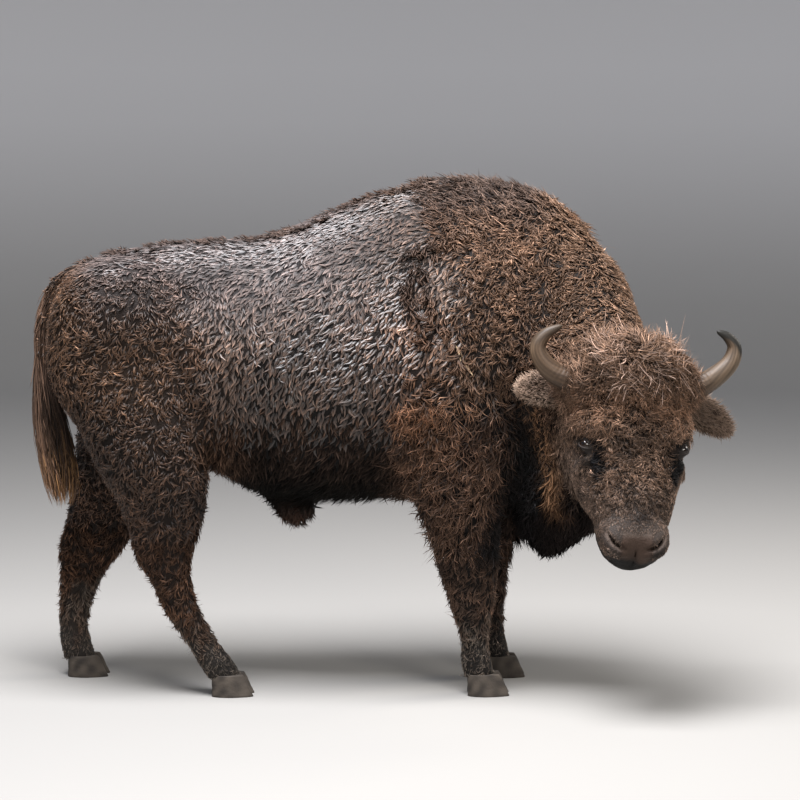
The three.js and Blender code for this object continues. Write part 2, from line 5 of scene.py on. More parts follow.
import bpy
import numpy as np
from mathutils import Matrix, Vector


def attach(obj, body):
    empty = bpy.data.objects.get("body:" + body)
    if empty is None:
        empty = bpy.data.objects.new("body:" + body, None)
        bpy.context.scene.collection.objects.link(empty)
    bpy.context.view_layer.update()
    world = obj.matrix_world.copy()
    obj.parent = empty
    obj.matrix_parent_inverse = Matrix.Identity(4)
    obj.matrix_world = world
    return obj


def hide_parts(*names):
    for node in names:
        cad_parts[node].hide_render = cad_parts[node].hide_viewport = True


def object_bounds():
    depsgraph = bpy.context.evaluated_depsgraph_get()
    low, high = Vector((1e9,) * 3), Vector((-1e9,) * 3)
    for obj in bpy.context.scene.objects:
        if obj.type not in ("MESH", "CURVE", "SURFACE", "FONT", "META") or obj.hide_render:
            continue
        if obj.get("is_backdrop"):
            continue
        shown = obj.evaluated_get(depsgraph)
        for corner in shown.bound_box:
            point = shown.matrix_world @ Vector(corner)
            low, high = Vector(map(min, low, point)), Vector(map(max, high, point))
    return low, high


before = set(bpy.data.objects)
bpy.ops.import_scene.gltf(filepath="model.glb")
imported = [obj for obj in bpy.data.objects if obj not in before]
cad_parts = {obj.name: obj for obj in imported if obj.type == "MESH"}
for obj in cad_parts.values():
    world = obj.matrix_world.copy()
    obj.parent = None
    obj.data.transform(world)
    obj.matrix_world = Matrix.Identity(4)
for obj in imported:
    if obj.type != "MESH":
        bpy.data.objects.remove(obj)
cad_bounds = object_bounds()
rng = np.random.default_rng(11)

# Shapes below are in the millimetres of the part's source, before its shift to the model's origin.
SHIFT = np.array([64.0, 158.0, 0.0])


def metres(p):
    return (p + SHIFT) / 1000.0


# ---------------------------------------------------------------- the body as a field
TRUNK = np.array([
    # x, height of the back, height of the belly, half width, height of the widest point
    [-1130, 1350, 1130, 95, 1230],
    [-1080, 1404, 1010, 165, 1215],
    [-980, 1445, 900, 225, 1200],
    [-820, 1478, 800, 272, 1180],
    [-630, 1498, 738, 296, 1140],
    [-430, 1518, 652, 326, 1080],
    [-230, 1598, 628, 345, 1050],
    [-30, 1672, 634, 345, 1040],
    [170, 1704, 610, 325, 1040],
    [360, 1684, 570, 300, 1050],
    [500, 1634, 600, 262, 1090],
    [600, 1535, 700, 200, 1120],
], float)
# The legs from the fetlock up: z, x, y, half length, half width.
FORE_R = np.array([
    [60, 262, -150, 53, 50], [100, 252, -150, 54, 50], [170, 246, -152, 49, 42],
    [240, 240, -156, 59, 46], [305, 235, -160, 77, 57], [400, 225, -168, 97, 68],
    [510, 214, -182, 116, 86], [650, 190, -196, 146, 108], [800, 190, -190, 190, 125],
    [960, 215, -160, 190, 120],
], float)
FORE_L = FORE_R.copy()
FORE_L[:, 1] += 68 - 0.04 * FORE_R[:, 0]
FORE_L[:, 2] *= -1
HIND_R = np.array([
    [60, -578, -160, 60, 52], [110, -606, -162, 62, 50], [180, -652, -166, 55, 42],
    [300, -720, -172, 62, 46], [395, -752, -176, 72, 52], [460, -770, -178, 96, 58],
    [560, -766, -184, 126, 76], [685, -775, -190, 158, 102], [770, -800, -190, 186, 122],
    [890, -836, -182, 212, 132], [1060, -872, -165, 222, 130], [1200, -885, -140, 200, 115],
], float)
HIND_L = np.array([
    [60, -1090, 160, 58, 52], [110, -1104, 162, 56, 50], [180, -1112, 166, 52, 42],
    [280, -1100, 172, 64, 46], [365, -1078, 176, 84, 52], [430, -1052, 178, 112, 60],
    [530, -1012, 184, 128, 78], [650, -970, 190, 150, 102], [770, -925, 190, 180, 122],
    [890, -890, 182, 205, 132], [1060, -885, 165, 220, 130], [1200, -885, 140, 200, 115],
], float)
# Swellings as centre and radii: haunch, seat and shoulder on both sides; brisket and sheath; neck.
MASSES = [
    ((-900, 150, 1240), (215, 165, 190)), ((-1000, 130, 1130), (155, 150, 240)),
    ((250, 175, 1080), (240, 165, 380)),
]
MIDLINE = [((430, 0, 720), (170, 150, 190)), ((-352, 0, 650), (80, 52, 100))]
NECK = [
    ((535, -40, 1165), (205, 225, 385)), ((615, -150, 1105), (183, 212, 350)),
    ((650, -290, 1010), (180, 190, 300)),
    ((590, -215, 800), (150, 165, 250)), ((500, -200, 640), (120, 95, 160)),
]
TAIL = np.array([
    [-1085, 0, 1375], [-1140, 0, 1330], [-1176, 0, 1220], [-1180, -6, 1080], [-1160, -14, 900],
    [-1130, -20, 740], [-1112, -24, 610],
], float)

# The head's own frame: t down the nose, w to its left, n out of the forehead.
HEAD_AT = np.array([750.0, -480.0, 1143.0])
YAW, PITCH, ROLL = (math.radians(a) for a in (7, 71.8, 4.1))
_heading = np.array([math.sin(YAW), -math.cos(YAW), 0])
_level = np.array([math.cos(YAW), math.sin(YAW), 0])
_up = np.array([*(_level * math.sin(ROLL))[:2], math.cos(ROLL)])
LEFT = np.cross(_up, _heading)
NOSE = _heading * math.cos(PITCH) - _up * math.sin(PITCH)
FRONT = np.cross(NOSE, LEFT)
HEAD_AXES = np.stack([NOSE, LEFT, FRONT])  # rows: t, w, n


def to_head(p):
    return (p - HEAD_AT) @ HEAD_AXES.T


def from_head(q):
    return HEAD_AT + np.asarray(q, float) @ HEAD_AXES


# On the left side of the head, as t, w, n; SIDES gives the sign of w for each animal's side.
SIDES = {"right": -1, "left": 1}
EYE = np.array([277.0, 152.0, -74.0])
EYE_R = 22.0
HORNS = {
    "right": [
        [82, 120, -104], [69, 199, -94], [48, 255, -88], [11, 296, -78], [-30, 312, -66], [-67, 290, -52],
        [-94, 243, -38],
    ],
    "left": [
        [88, 120, -104], [67, 200, -94], [29, 263, -88], [-17, 309, -78], [-64, 320, -66], [-93, 296, -52],
        [-108, 258, -40],
    ],
}
HEAD_MASSES = [
    ((62, 0, -115), (172, 193, 146)), ((170, 0, -116), (165, 182, 132)), ((232, 104, -104), (88, 82, 80)),
    ((355, 0, -118), (215, 150, 112)), ((455, 0, -108), (160, 122, 98)), ((312, 92, -196), (165, 88, 118)),
    ((556, 0, -96), (88, 102, 88)), ((574, 62, -56), (50, 44, 40)), ((602, 0, -110), (42, 70, 48)),
    ((580, 0, -158), (66, 56, 42)), ((62, 158, -112), (60, 60, 62)),
]
# How many millimetres each of these runs into what it joins.
MASS_BLEND, TRUNK_BLEND, LEG_BLEND, NECK_BLEND, HEAD_BLEND, FACE_BLEND = 60, 70, 55, 90, 60, 42


def mirrored(p):
    """Points with their second coordinate made positive."""
    return p * [1, 0, 1] + np.abs(p) * [0, 1, 0]


def smin(a, b, k):
    h = np.maximum(k - np.abs(a - b), 0) / k
    return np.minimum(a, b) - h * h * k / 4


def smax(a, b, k):
    return -smin(-a, -b, k)


def ellipsoid(p, at, radii):
    q = p - np.asarray(at, float)
    r = np.asarray(radii, float)
    k0 = np.sqrt(((q / r) ** 2).sum(-1))
    k1 = np.sqrt(((q / r**2) ** 2).sum(-1)) + 1e-9
    return k0 * (k0 - 1) / k1


def blended(p, masses, k, d=None):
    """Ellipsoids run into each other, and into d where it is given."""
    for at, radii in masses:
        e = ellipsoid(p, at, radii)
        d = e if d is None else smin(d, e, k)
    return d


def limb(p, a, b, ra, rb):
    """A rod from a to b with the radii ra and rb."""
    a, b = np.asarray(a, float), np.asarray(b, float)
    ab = b - a
    pa = p - a
    h = np.clip(pa @ ab / (ab @ ab), 0, 1)
    return np.sqrt(((pa - h[..., None] * ab) ** 2).sum(-1)) - ra - (rb - ra) * h


def chain(p, points, radii):
    """Rods from point to point."""
    d = None
    for a, b, ra, rb in zip(points[:-1], points[1:], radii[:-1], radii[1:]):
        e = limb(p, a, b, ra, rb)
        d = e if d is None else np.minimum(d, e)
    return d


def curve(at, value):
    """A smooth function through the values at the ascending places `at`."""
    n = len(at)
    lo = np.maximum(np.arange(n) - 1, 0)
    hi = np.minimum(np.arange(n) + 1, n - 1)
    slope = (value[hi] - value[lo]) / (at[hi] - at[lo])

    def f(v):
        v = np.clip(v, at[0], at[-1])
        i = np.clip(np.searchsorted(at, v) - 1, 0, n - 2)
        step = at[i + 1] - at[i]
        u = (v - at[i]) / step
        return (value[i] * (1 + 2 * u) * (1 - u) ** 2 + value[i + 1] * u * u * (3 - 2 * u)
                + step * u * (1 - u) * (slope[i] * (1 - u) - slope[i + 1] * u))

    return f


def section(a, b, ra, rb, power):
    """Roughly the distance from a superellipse with the half axes ra and rb."""
    reach = np.sqrt(a * a + b * b)
    g = (np.abs(a / ra) ** power + np.abs(b / rb) ** power) ** (1 / power)
    least = -np.minimum(ra, rb)
    return np.where(g < 1e-6, least, np.maximum(reach * (1 - 1 / np.maximum(g, 1e-6)), least))


def beyond(across, past):
    """Close off a section's field past the end of its body."""
    return np.where(past <= 0, across, np.hypot(np.maximum(across, 0), np.maximum(past, 0)))


trunk_at = [curve(TRUNK[:, 0], TRUNK[:, k]) for k in range(1, 5)]


def trunk_field(p):
    x, y, z = p.T
    top, belly, half, wide = (f(x) for f in trunk_at)
    up = z > wide
    across = section(y, z - wide, half, np.where(up, top - wide, wide - belly), np.where(up, 1.75, 2.2))
    return beyond(across, np.maximum(TRUNK[0, 0] - x, x - TRUNK[-1, 0]))


def leg_field(stations):
    fx, fy, fl, fh = (curve(stations[:, 0], stations[:, k]) for k in range(1, 5))
    low, high = stations[0, 0], stations[-1, 0]

    def f(p):
        x, y, z = p.T
        return beyond(section(x - fx(z), y - fy(z), fl(z), fh(z), 2.2), np.maximum(low - z, z - high))

    return f


LEG_FIELDS = [leg_field(s) for s in (FORE_R, FORE_L, HIND_R, HIND_L)]


def head_field(q):
    """Envelope of the head at head coordinates q, before the coat's depth is taken off."""
    s = mirrored(q)
    d = blended(s, HEAD_MASSES, FACE_BLEND, limb(s, (330, 60, -222), (560, 26, -152), 88, 44))
    return smax(d, -ellipsoid(s, (285, 176, -60), (40, 26, 34)), 16)


def body_field(p):
    """Envelope of the whole animal, out to the tips of the coat; negative inside."""
    masses = blended(p, MIDLINE, MASS_BLEND, blended(mirrored(p), MASSES, MASS_BLEND))
    d = smin(trunk_field(p), masses, TRUNK_BLEND)
    for f in LEG_FIELDS:
        d = smin(d, f(p), LEG_BLEND)
    d = smin(d, blended(p, NECK, NECK_BLEND), NECK_BLEND)
    return smin(d, head_field(to_head(p)), HEAD_BLEND)


def step(a, b, v):
    """0 at a and before, 1 at b and past it, whichever way they lie."""
    u = np.clip((v - a) / (b - a), 0, 1)
    return u * u * (3 - 2 * u)


def blob(v, centre, width):
    return np.exp(-(((v - centre) / width) ** 2))


def near(p, at, radii):
    return np.exp(-(((p - np.asarray(at, float)) / np.asarray(radii, float)) ** 2).sum(-1))


def waves(p, size, seed, terms=7):
    """Smooth noise, about -1 to 1, whose bumps are about `size` millimetres across."""
    r = np.random.default_rng(seed)
    k = r.normal(size=(terms, 3))
    k *= (r.uniform(0.7, 1.5, (terms, 1)) * math.pi / size) / np.linalg.norm(k, axis=1, keepdims=True)
    return np.sin(p @ k.T + r.uniform(0, 2 * math.pi, terms)).sum(-1) / math.sqrt(terms) * 0.9


def head_side(q):
    """Millimetres past the plane that parts the head from the neck, positive on the head's side."""
    return ((q[..., 0] + 60) * 0.57 + (q[..., 2] + 60) * 0.82) / math.hypot(0.57, 0.82)


def coat_depth(p):
    """Millimetres from the skin out to the tips of the coat."""
    q = to_head(p)
    t, _, n = q.T
    body = 15 + 7 * step(1400, 1650, p[:, 2]) - 5 * step(-500, -900, p[:, 0])
    body = body - (body - 9) * step(620, 420, p[:, 2]) * step(500, 400, p[:, 0])
    body = body - (body - 5) * step(260, 120, p[:, 2])
    body = body + (24 - body) * step(430, 620, p[:, 0])
    face = 7 + 17 * step(235, 60, t) - 4 * step(470, 560, t)
    face = face + 12 * step(-170, -260, n) * step(620, 500, t)
    on_head = step(-40, 60, head_side(q)) * step(330, 520, p[:, 0])
    return body + (face - body) * on_head


# Rear edge of the near jaw, from the ear down.
JAW = np.array([
    [366, -326, 1030], [386, -320, 978], [409, -313, 925], [432, -305, 854], [458, -312, 754],
    [471, -319, 694], [481, -313, 632], [497, -285, 560],
], float)


def jaw_x(p):
    """How far in front of the jaw's rear edge a point lies, on the near side."""
    return p[:, 0] - np.interp(p[:, 2], JAW[::-1, 2], JAW[::-1, 0])

# ---------------------------------------------------------------- details of the face
def unit(v):
    v = np.asarray(v, float)
    return v / np.linalg.norm(v, axis=-1, keepdims=True)


def turned_from(n, d, share=1.0):
    """Directions d without their part along n, or without a share of it."""
    return unit(d - n * (d * n).sum(1, keepdims=True) * share)


# The eye's own frame: out of the ball, along the opening and across it.
EYE_OUT = unit([-0.12, 0.68, 0.72])
EYE_LONG = np.array([0.60, -0.62, 0.69])
EYE_LONG = unit(EYE_LONG - EYE_OUT * (EYE_OUT @ EYE_LONG))
EYE_UP = np.cross(EYE_OUT, EYE_LONG)
EYE_UP = EYE_UP * (1 if EYE_UP[0] < 0 else -1)
NOSTRIL = np.array([
    (560, 90, -26), (574, 83, -21), (588, 74, -18), (599, 62, -17), (606, 49, -19), (607, 35, -23),
], float)


def face_detail(q, d):
    s = mirrored(q)
    # brow above, cheekbone below and the hollow in front of the eye
    d = smin(d, limb(s, (238, 128, -62), (262, 172, -104), 13, 11), 22)
    d = smin(d, limb(s, (322, 150, -78), (338, 168, -140), 9, 10), 26)
    d = smax(d, -ellipsoid(s, (322, 148, -38), (36, 20, 14)), 12)
    # the socket of the eye and the groove that runs from its inner corner
    e = s - EYE
    along, up = e @ EYE_LONG, e @ EYE_UP
    ball = np.sqrt((e**2).sum(-1))
    d = smax(d, -(ball - EYE_R - 1.5), 7)
    corner = [EYE + reach * EYE_LONG + out * EYE_OUT for reach, out in ((24, 14), (62, 20))]
    d = smax(d, -limb(s, *corner, 5, 8), 14)
    # nostrils: a slit that turns in below the pad, with a rim on either side
    slit = chain(s, NOSTRIL, [3, 6, 8.5, 9, 8, 4])
    slit = np.minimum(slit, chain(s, NOSTRIL[1:5] + [-7, -1, -12], [4, 6.5, 7, 5]))
    slit = np.minimum(slit, chain(s, NOSTRIL[1:5] + [-16, -3, -26], [5, 7, 7, 5]))
    rim = chain(s, [(554, 78, -30), (567, 69, -24), (580, 56, -21), (590, 38, -22)], [8, 9, 9, 7])
    wing = [(574, 95, -46), (592, 87, -36), (608, 72, -33), (618, 54, -34), (620, 36, -38)]
    d = smin(d, rim, 12)
    d = smin(d, chain(s, wing, [9, 11, 12, 11, 8]), 14)
    d = smax(d, -slit, 3)
    # groove of the upper lip, the lips and the mouth's line
    d = smax(d, -limb(s, (606, 0, -26), (650, 0, -84), 3, 3), 5)
    lips = [(648, 0, -106), (636, 40, -108), (606, 76, -114), (560, 96, -124)]
    mouth = [
        (652, 0, -122), (640, 40, -124), (612, 72, -130), (572, 92, -142), (520, 104, -156),
        (480, 108, -170),
    ]
    d = smin(d, chain(s, lips, [9, 9, 9, 7]), 16)
    d = smax(d, -chain(s, mouth, [4, 4, 4, 3.5, 3, 2]), 4)
    # wrinkles of the muzzle and round the eye
    folds = 1.6 * np.sin(s[..., 0] / 8.5 + 2.2 * np.sin(s[..., 1] / 26)) * blob(s[..., 0], 520, 40)
    folds = folds * step(-10, -60, s[..., 2]) * step(50, 90, s[..., 1])
    folds = folds + 0.9 * np.sin((along * 0.5 - up) / 3.0) * np.exp(-((ball - 36) / 9) ** 2)
    return d + folds


def skin_field(p):
    """The skin under the coat, with the fold of the neck behind the near jaw."""
    d = body_field(p) + coat_depth(p)
    fold = chain(p, JAW + [-46, -14, 0], [30, 36, 38, 40, 42, 44, 44, 30])
    return smax(d, -fold, 26)


def body_shell(p):
    """The skin of everything but the head; it carries on a little way inside the head."""
    over = head_side(to_head(p)) * step(300, 420, p[:, 0]) - 200 * step(420, 300, p[:, 0])
    d = skin_field(p) + 7 * step(0, 25, over)
    d = smin(d, chain(p, TAIL[:5], [26, 22, 18, 13, 7]), 20)
    return np.maximum(d, over - 70)


def head_shell(p):
    q = to_head(p)
    d = face_detail(q, skin_field(p))
    return smax(d, -head_side(q), 3)


# ---------------------------------------------------------------- meshing a field
def gradient(field, p, h=1.0):
    g = np.empty_like(p)
    for k, e in enumerate(np.eye(3) * h):
        g[:, k] = (field(p + e) - field(p - e)) / (2 * h)
    return g


def off_by(field, p, h, least, goal=0.0):
    """How far points lie, along the slope, from where the field has the value goal."""
    g = gradient(field, p, h)
    return g * ((field(p) - goal) / np.maximum((g**2).sum(1), least))[:, None]


def polygonise(field, low, high, cell, slope_step=1.0):
    """Closed quads where the field crosses zero, one vertex to a crossed cell.

    The field is sampled on a grid four times coarser first, and finely only near the surface."""
    low, high = np.asarray(low, float), np.asarray(high, float)
    coarse = 4
    nc = -(-np.ceil((high - low) / cell).astype(int) // coarse) + 1
    axes = [low[k] + np.arange(nc[k]) * cell * coarse for k in range(3)]
    pts = np.stack(np.meshgrid(*axes, indexing="ij"), -1).reshape(-1, 3)
    rough = field(pts).reshape(nc)
    n = (nc - 1) * coarse + 1

    def finer(a):
        return a.repeat(coarse, 0).repeat(coarse, 1).repeat(coarse, 2)[: n[0], : n[1], : n[2]]

    value = finer(rough).copy()
    wide = np.abs(rough) < cell * coarse * 1.9
    for axis in range(3):
        wide |= np.roll(wide, 1, axis) | np.roll(wide, -1, axis)
    close = finer(wide)
    value[close] = field(low + np.argwhere(close) * cell)
    for axis in range(3):
        for end in (0, -1):
            np.moveaxis(value, axis, 0)[end] = 1.0
    inside = value < 0
    cells = np.zeros(n - 1, np.int8)
    for x, y, z in np.ndindex(2, 2, 2):
        cells += inside[x:n[0] - 1 + x, y:n[1] - 1 + y, z:n[2] - 1 + z]
    crossed = (cells > 0) & (cells < 8)
    where = np.argwhere(crossed)
    number = -np.ones(n - 1, np.int64)
    number[crossed] = np.arange(len(where))
    # a cell's vertex is the mean of the places where its twelve edges cross zero
    total = np.zeros((len(where), 3))
    count = np.zeros(len(where))
    corner = [np.array([a & 1, a >> 1 & 1, a >> 2]) for a in range(8)]
    for a, b in ((a, a | bit) for a in range(8) for bit in (1, 2, 4) if not a & bit):
        va, vb = (value[tuple((where + corner[c]).T)] for c in (a, b))
        hit = (va < 0) != (vb < 0)
        f = np.where(hit, va / np.where(hit, va - vb, 1), 0)
        total += hit[:, None] * (corner[a] + f[:, None] * (corner[b] - corner[a]))
        count += hit
    verts = low + (where + total / count[:, None]) * cell
    # a quad for each crossed edge of the grid, through the four cells round it
    quads = []
    for axis in range(3):
        across = [k for k in range(3) if k != axis]
        back, ahead = [slice(1, -1)] * 3, [slice(1, -1)] * 3
        back[axis], ahead[axis] = slice(0, -1), slice(1, None)
        before, after = inside[tuple(back)], inside[tuple(ahead)]
        edge = np.argwhere(before != after)
        e1, e2 = np.eye(3, dtype=int)[across]
        cell_at = edge + e1 + e2
        q = np.stack([number[tuple((cell_at - e).T)] for e in (e1 + e2, e2, 0, e1)], 1)
        flip = before[tuple(edge.T)] ^ (axis == 1)
        q[~flip] = q[~flip][:, ::-1]
        quads.append(q)
    # move each vertex along the slope onto the surface, by half a cell at most
    for _ in range(2):
        move = off_by(field, verts, slope_step, 0.2)
        far = np.linalg.norm(move, axis=1, keepdims=True)
        verts = verts - move * np.minimum(1, cell * 0.5 / np.maximum(far, 1e-9))
    return verts, np.concatenate(quads)


def make_mesh(name, verts, faces, colours, smooth=True, uv=None):
    """faces: an (n, k) array of equal-sided faces, or a list of such arrays."""
    faces = faces if isinstance(faces, list) else [faces]
    mesh = bpy.data.meshes.new(name)
    mesh.vertices.add(len(verts))
    mesh.vertices.foreach_set("co", metres(verts).astype(np.float32).ravel())
    loops = np.concatenate([f.ravel() for f in faces]).astype(np.int32)
    sides = np.concatenate([np.full(len(f), f.shape[1]) for f in faces])
    mesh.loops.add(len(loops))
    mesh.loops.foreach_set("vertex_index", loops)
    mesh.polygons.add(len(sides))
    mesh.polygons.foreach_set("loop_start", (np.cumsum(sides) - sides).astype(np.int32))
    mesh.polygons.foreach_set("use_smooth", np.full(len(sides), smooth))
    rgba = np.concatenate([colours, np.ones((len(colours), 1))], 1).astype(np.float32)
    mesh.color_attributes.new("Coat", "FLOAT_COLOR", "POINT").data.foreach_set("color", rgba.ravel())
    if uv is not None:
        mesh.uv_layers.new(name="OFBake").data.foreach_set("uv", uv[loops].astype(np.float32).ravel())
    mesh.update(calc_edges=True)
    mesh.validate()
    obj = bpy.data.objects.new(name, mesh)
    bpy.context.scene.collection.objects.link(obj)
    return obj


def circle(count):
    return np.arange(count) * 2 * math.pi / count


def ring_grid(rings, cols):
    """Vertex numbers of rings laid one after another, the same moved on by one, and the quads between."""
    idx = np.arange(rings * cols).reshape(rings, cols)
    nxt = np.roll(idx, -1, 1)
    return idx, nxt, np.stack([idx[:-1], nxt[:-1], nxt[1:], idx[1:]], -1).reshape(-1, 4)


def fan(hub, one, other):
    return np.stack([np.full(len(one), hub), one, other], 1)


def capped(rings, cols):
    """Quads of a tube, and the fans that close it on the two hub vertices after its rings."""
    idx, nxt, quads = ring_grid(rings, cols)
    hub = rings * cols
    return quads, np.concatenate([fan(hub, nxt[0], idx[0]), fan(hub + 1, idx[-1], nxt[-1])])


def ball(rings, cols):
    """Points of a unit ball, along its pole and across it, and its quads."""
    around, turn = np.meshgrid(np.linspace(0, math.pi, rings), circle(cols), indexing="ij")
    points = np.cos(around), np.sin(around) * np.cos(turn), np.sin(around) * np.sin(turn)
    return *(v.ravel() for v in points), ring_grid(rings, cols)[2]


def place(obj, material, slot, *solids):
    """Give a piece its material and its body, and hide the solids that it stands for; slot is not used."""
    obj.data.materials.append(material)
    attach(obj, "root")
    if solids:
        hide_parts(*solids)


# ---------------------------------------------------------------- markings, shared by skin and coat
def mix(a, b, f):
    return a + (b - a) * np.asarray(f)[..., None]


def rgb(*c):
    return np.array(c, float)


def paint(c, *layers):
    """Lay colours over c: each is a colour, or a number that darkens, and how much of it shows."""
    for tone, share in layers:
        c = mix(c, c * tone if np.isscalar(tone) else rgb(*tone), share)
    return c


BLACK = (0.005, 0.004, 0.004)
MUD = (0.200, 0.170, 0.142)


def body_colour(p, mid, small):
    x, y, z = p.T
    c = paint(
        np.broadcast_to(rgb(0.145, 0.086, 0.058), p.shape),
        # rump warmer, back cooler and greyer where it is wet as a painted sheen, shoulders and neck redder
        # and lighter, hump's top darker
        ((0.165, 0.094, 0.056), step(-560, -900, x) * step(1440, 1300, z)),
        ((0.130, 0.098, 0.088), step(1100, 1420, z) * step(140, -300, x) * step(-1080, -950, x)),
        ((0.215, 0.132, 0.088), step(60, 260, x) * step(820, 1050, z)),
        ((0.225, 0.120, 0.072), blob(x, 60, 110) * step(820, 950, z) * step(1330, 1180, z) * 0.8),
        ((0.092, 0.064, 0.051), step(1480, 1640, z) * step(-260, 120, x) * step(560, 460, x)),
        ((0.240, 0.148, 0.096), step(420, 560, x) * step(1050, 1250, z) * 0.8),
        ((0.060, 0.038, 0.028), blob(x, 275, 70) * step(1000, 930, z) * step(680, 760, z) * 0.9),
        # flank darkening downwards and belly, groin and chest nearly black: darker hair there, deepened by
        # painted shade of the underside; thighs and forelegs brown
        (0.5, step(1320, 1070, z) * step(-620, -420, x) * step(60, -60, x)),
        ((0.036, 0.023, 0.017), step(980, 840, z) * step(-620, -420, x) * step(60, -60, x)),
        ((0.006, 0.005, 0.004), step(830, 700, z) * step(-700, -520, x) * step(80, -80, x)),
        ((0.040, 0.020, 0.013), near(p, (-352, 0, 585), (80, 80, 40))),
        ((0.100, 0.058, 0.038), step(1080, 800, z) * step(-540, -640, x) * 0.9),
        ((0.120, 0.062, 0.036), step(700, 540, z) * step(-560, -660, x) * 0.7),
        ((0.100, 0.062, 0.044), step(860, 680, z) * step(-60, 60, x) * step(420, 330, x)),
        (BLACK, step(900, 700, z) * step(330, 400, x) * step(330, 420, z)),
        # painted shade of the underside: the lower fore- and hindquarters a third darker
        (0.68, step(1120, 900, z) * np.maximum(step(-560, -640, x), step(-60, 20, x)) * step(330, 480, z)),
    )
    # the shadowed fold behind the near jaw, wider lower down
    past, width = jaw_x(p), 46 + 0.55 * np.maximum(850 - z, 0)
    fold = step(-120, -200, y) * step(14, -8, past) * step(-width - 70, -width, past)
    fold = fold * step(1050, 960, z) * step(420, 500, z)
    # mud up to the pastern and splashed above it
    return paint(c, (BLACK, fold), (MUD, step(330, 90, z + 70 * mid + 50 * small) * 0.9))


def head_colour(p, q):
    t, w, n = q.T
    s = np.abs(w)
    # black gland below the eye, painted shadow of the brow above its inner corner, and on the far side the
    # gland's dark streak joined to painted shadow of the brow above the eye
    eye_q = mirrored(q)
    gland = [(292, 122, -34), (314, 120, -44), (342, 122, -50), (368, 119, -50)]
    tear = chain(eye_q, gland, [14, 21, 27, 17])
    brow_shadow = chain(eye_q, [(268, 138, -42), (286, 118, -31)], [11, 15])
    far_streak_and_brow_shadow = [(240, 162, -46), (300, 152, -76), (370, 142, -74), (396, 126, -56)]
    far = chain(q, far_streak_and_brow_shadow, [15, 17, 17, 12])
    return paint(
        np.broadcast_to(rgb(0.160, 0.106, 0.076), p.shape),
        # crown and forehead, the dark place between the eyes, bridge and cheeks
        ((0.165, 0.103, 0.069), step(150, 0, t) * step(-200, -70, n)),
        ((0.180, 0.108, 0.070), step(260, 160, t) * step(20, 140, t) * step(-150, -60, n) * 0.8),
        ((0.085, 0.058, 0.043), near(q, (272, 0, 0), (74, 96, 70))),
        ((0.150, 0.108, 0.085), step(360, 480, t)),
        ((0.150, 0.110, 0.088), step(120, 165, s) * step(230, 300, t) * 0.8),
        ((0.035, 0.029, 0.027), near(q, (508, 14, -8), (30, 30, 60)) * 0.9),
        # muzzle, the pad of the nose, lips and chin
        ((0.170, 0.128, 0.105), step(520, 545, t) * step(100, 80, s)),
        ((0.080, 0.050, 0.036), step(558, 580, t) * step(60, 45, s)),
        ((0.008, 0.006, 0.005), step(618, 634, t) * step(-44, -66, n + 20 * step(-10, 30, w))),
        ((0.020, 0.015, 0.013), step(596, 622, t) * step(40, 66, w) * 0.8),
        ((0.012, 0.009, 0.008), step(-90, -108, n) * step(520, 590, t)),
        ((0.018, 0.013, 0.011), step(-115, -145, n) * step(440, 520, t)),
        ((0.004, 0.004, 0.005), step(7, -6, tear)),
        ((0.010, 0.008, 0.008), step(8, -4, brow_shadow)),
        ((0.005, 0.004, 0.005), step(8, -6, far)),
        # throat: darker hair, deepened by painted shade under the jaw
        ((0.015, 0.011, 0.010), step(-250, -330, n) * step(640, 560, t) * step(250, 360, t)),
    )


def colour_at(p):
    """Linear colour of the coat or bare skin at points of the skin."""
    x, y, z = p.T
    q = to_head(p)
    big, mid, small = waves(p, 260, 1), waves(p, 90, 2), waves(p, 30, 3)
    c = body_colour(p, mid, small) * (1 + 0.16 * big + 0.14 * mid + 0.10 * small)[:, None]
    h = head_colour(p, q) * (1 + 0.12 * mid + 0.16 * small)[:, None]
    c = mix(c, h, step(-20, 30, head_side(q)) * step(330, 480, x))
    # the lit edge of the near jaw
    strip = blob(jaw_x(p), 30, 27) * step(-120, -200, y) * step(600, 700, z) * step(1010, 950, z)
    c = mix(c, rgb(0.270, 0.150, 0.082) * (1 + 0.1 * small)[:, None], strip * 0.9)
    return np.clip(c, 0.003, 0.9)


def bare_at(p):
    """1 where the hide is bare: nose, lips, lids, inside of the nostrils."""
    q = to_head(p)
    side = mirrored(q)
    t, s, n = side.T
    nose = step(556, 572, t + 0.15 * s) * step(52, 42, s) * step(-90, -66, n)
    holes = step(15, 9, chain(side, [(563, 90, -26), (590, 72, -20), (606, 48, -20)], [0, 0, 0]))
    lid = step(27, 21, np.linalg.norm(side - EYE - 8 * EYE_OUT, axis=1))
    here = step(0, 30, head_side(q)) * step(640, 560, np.linalg.norm(q - [250, 0, -120], axis=1))
    return np.clip(np.maximum.reduce([nose, holes, step(628, 646, t) * 0.9, lid]), 0, 1) * here


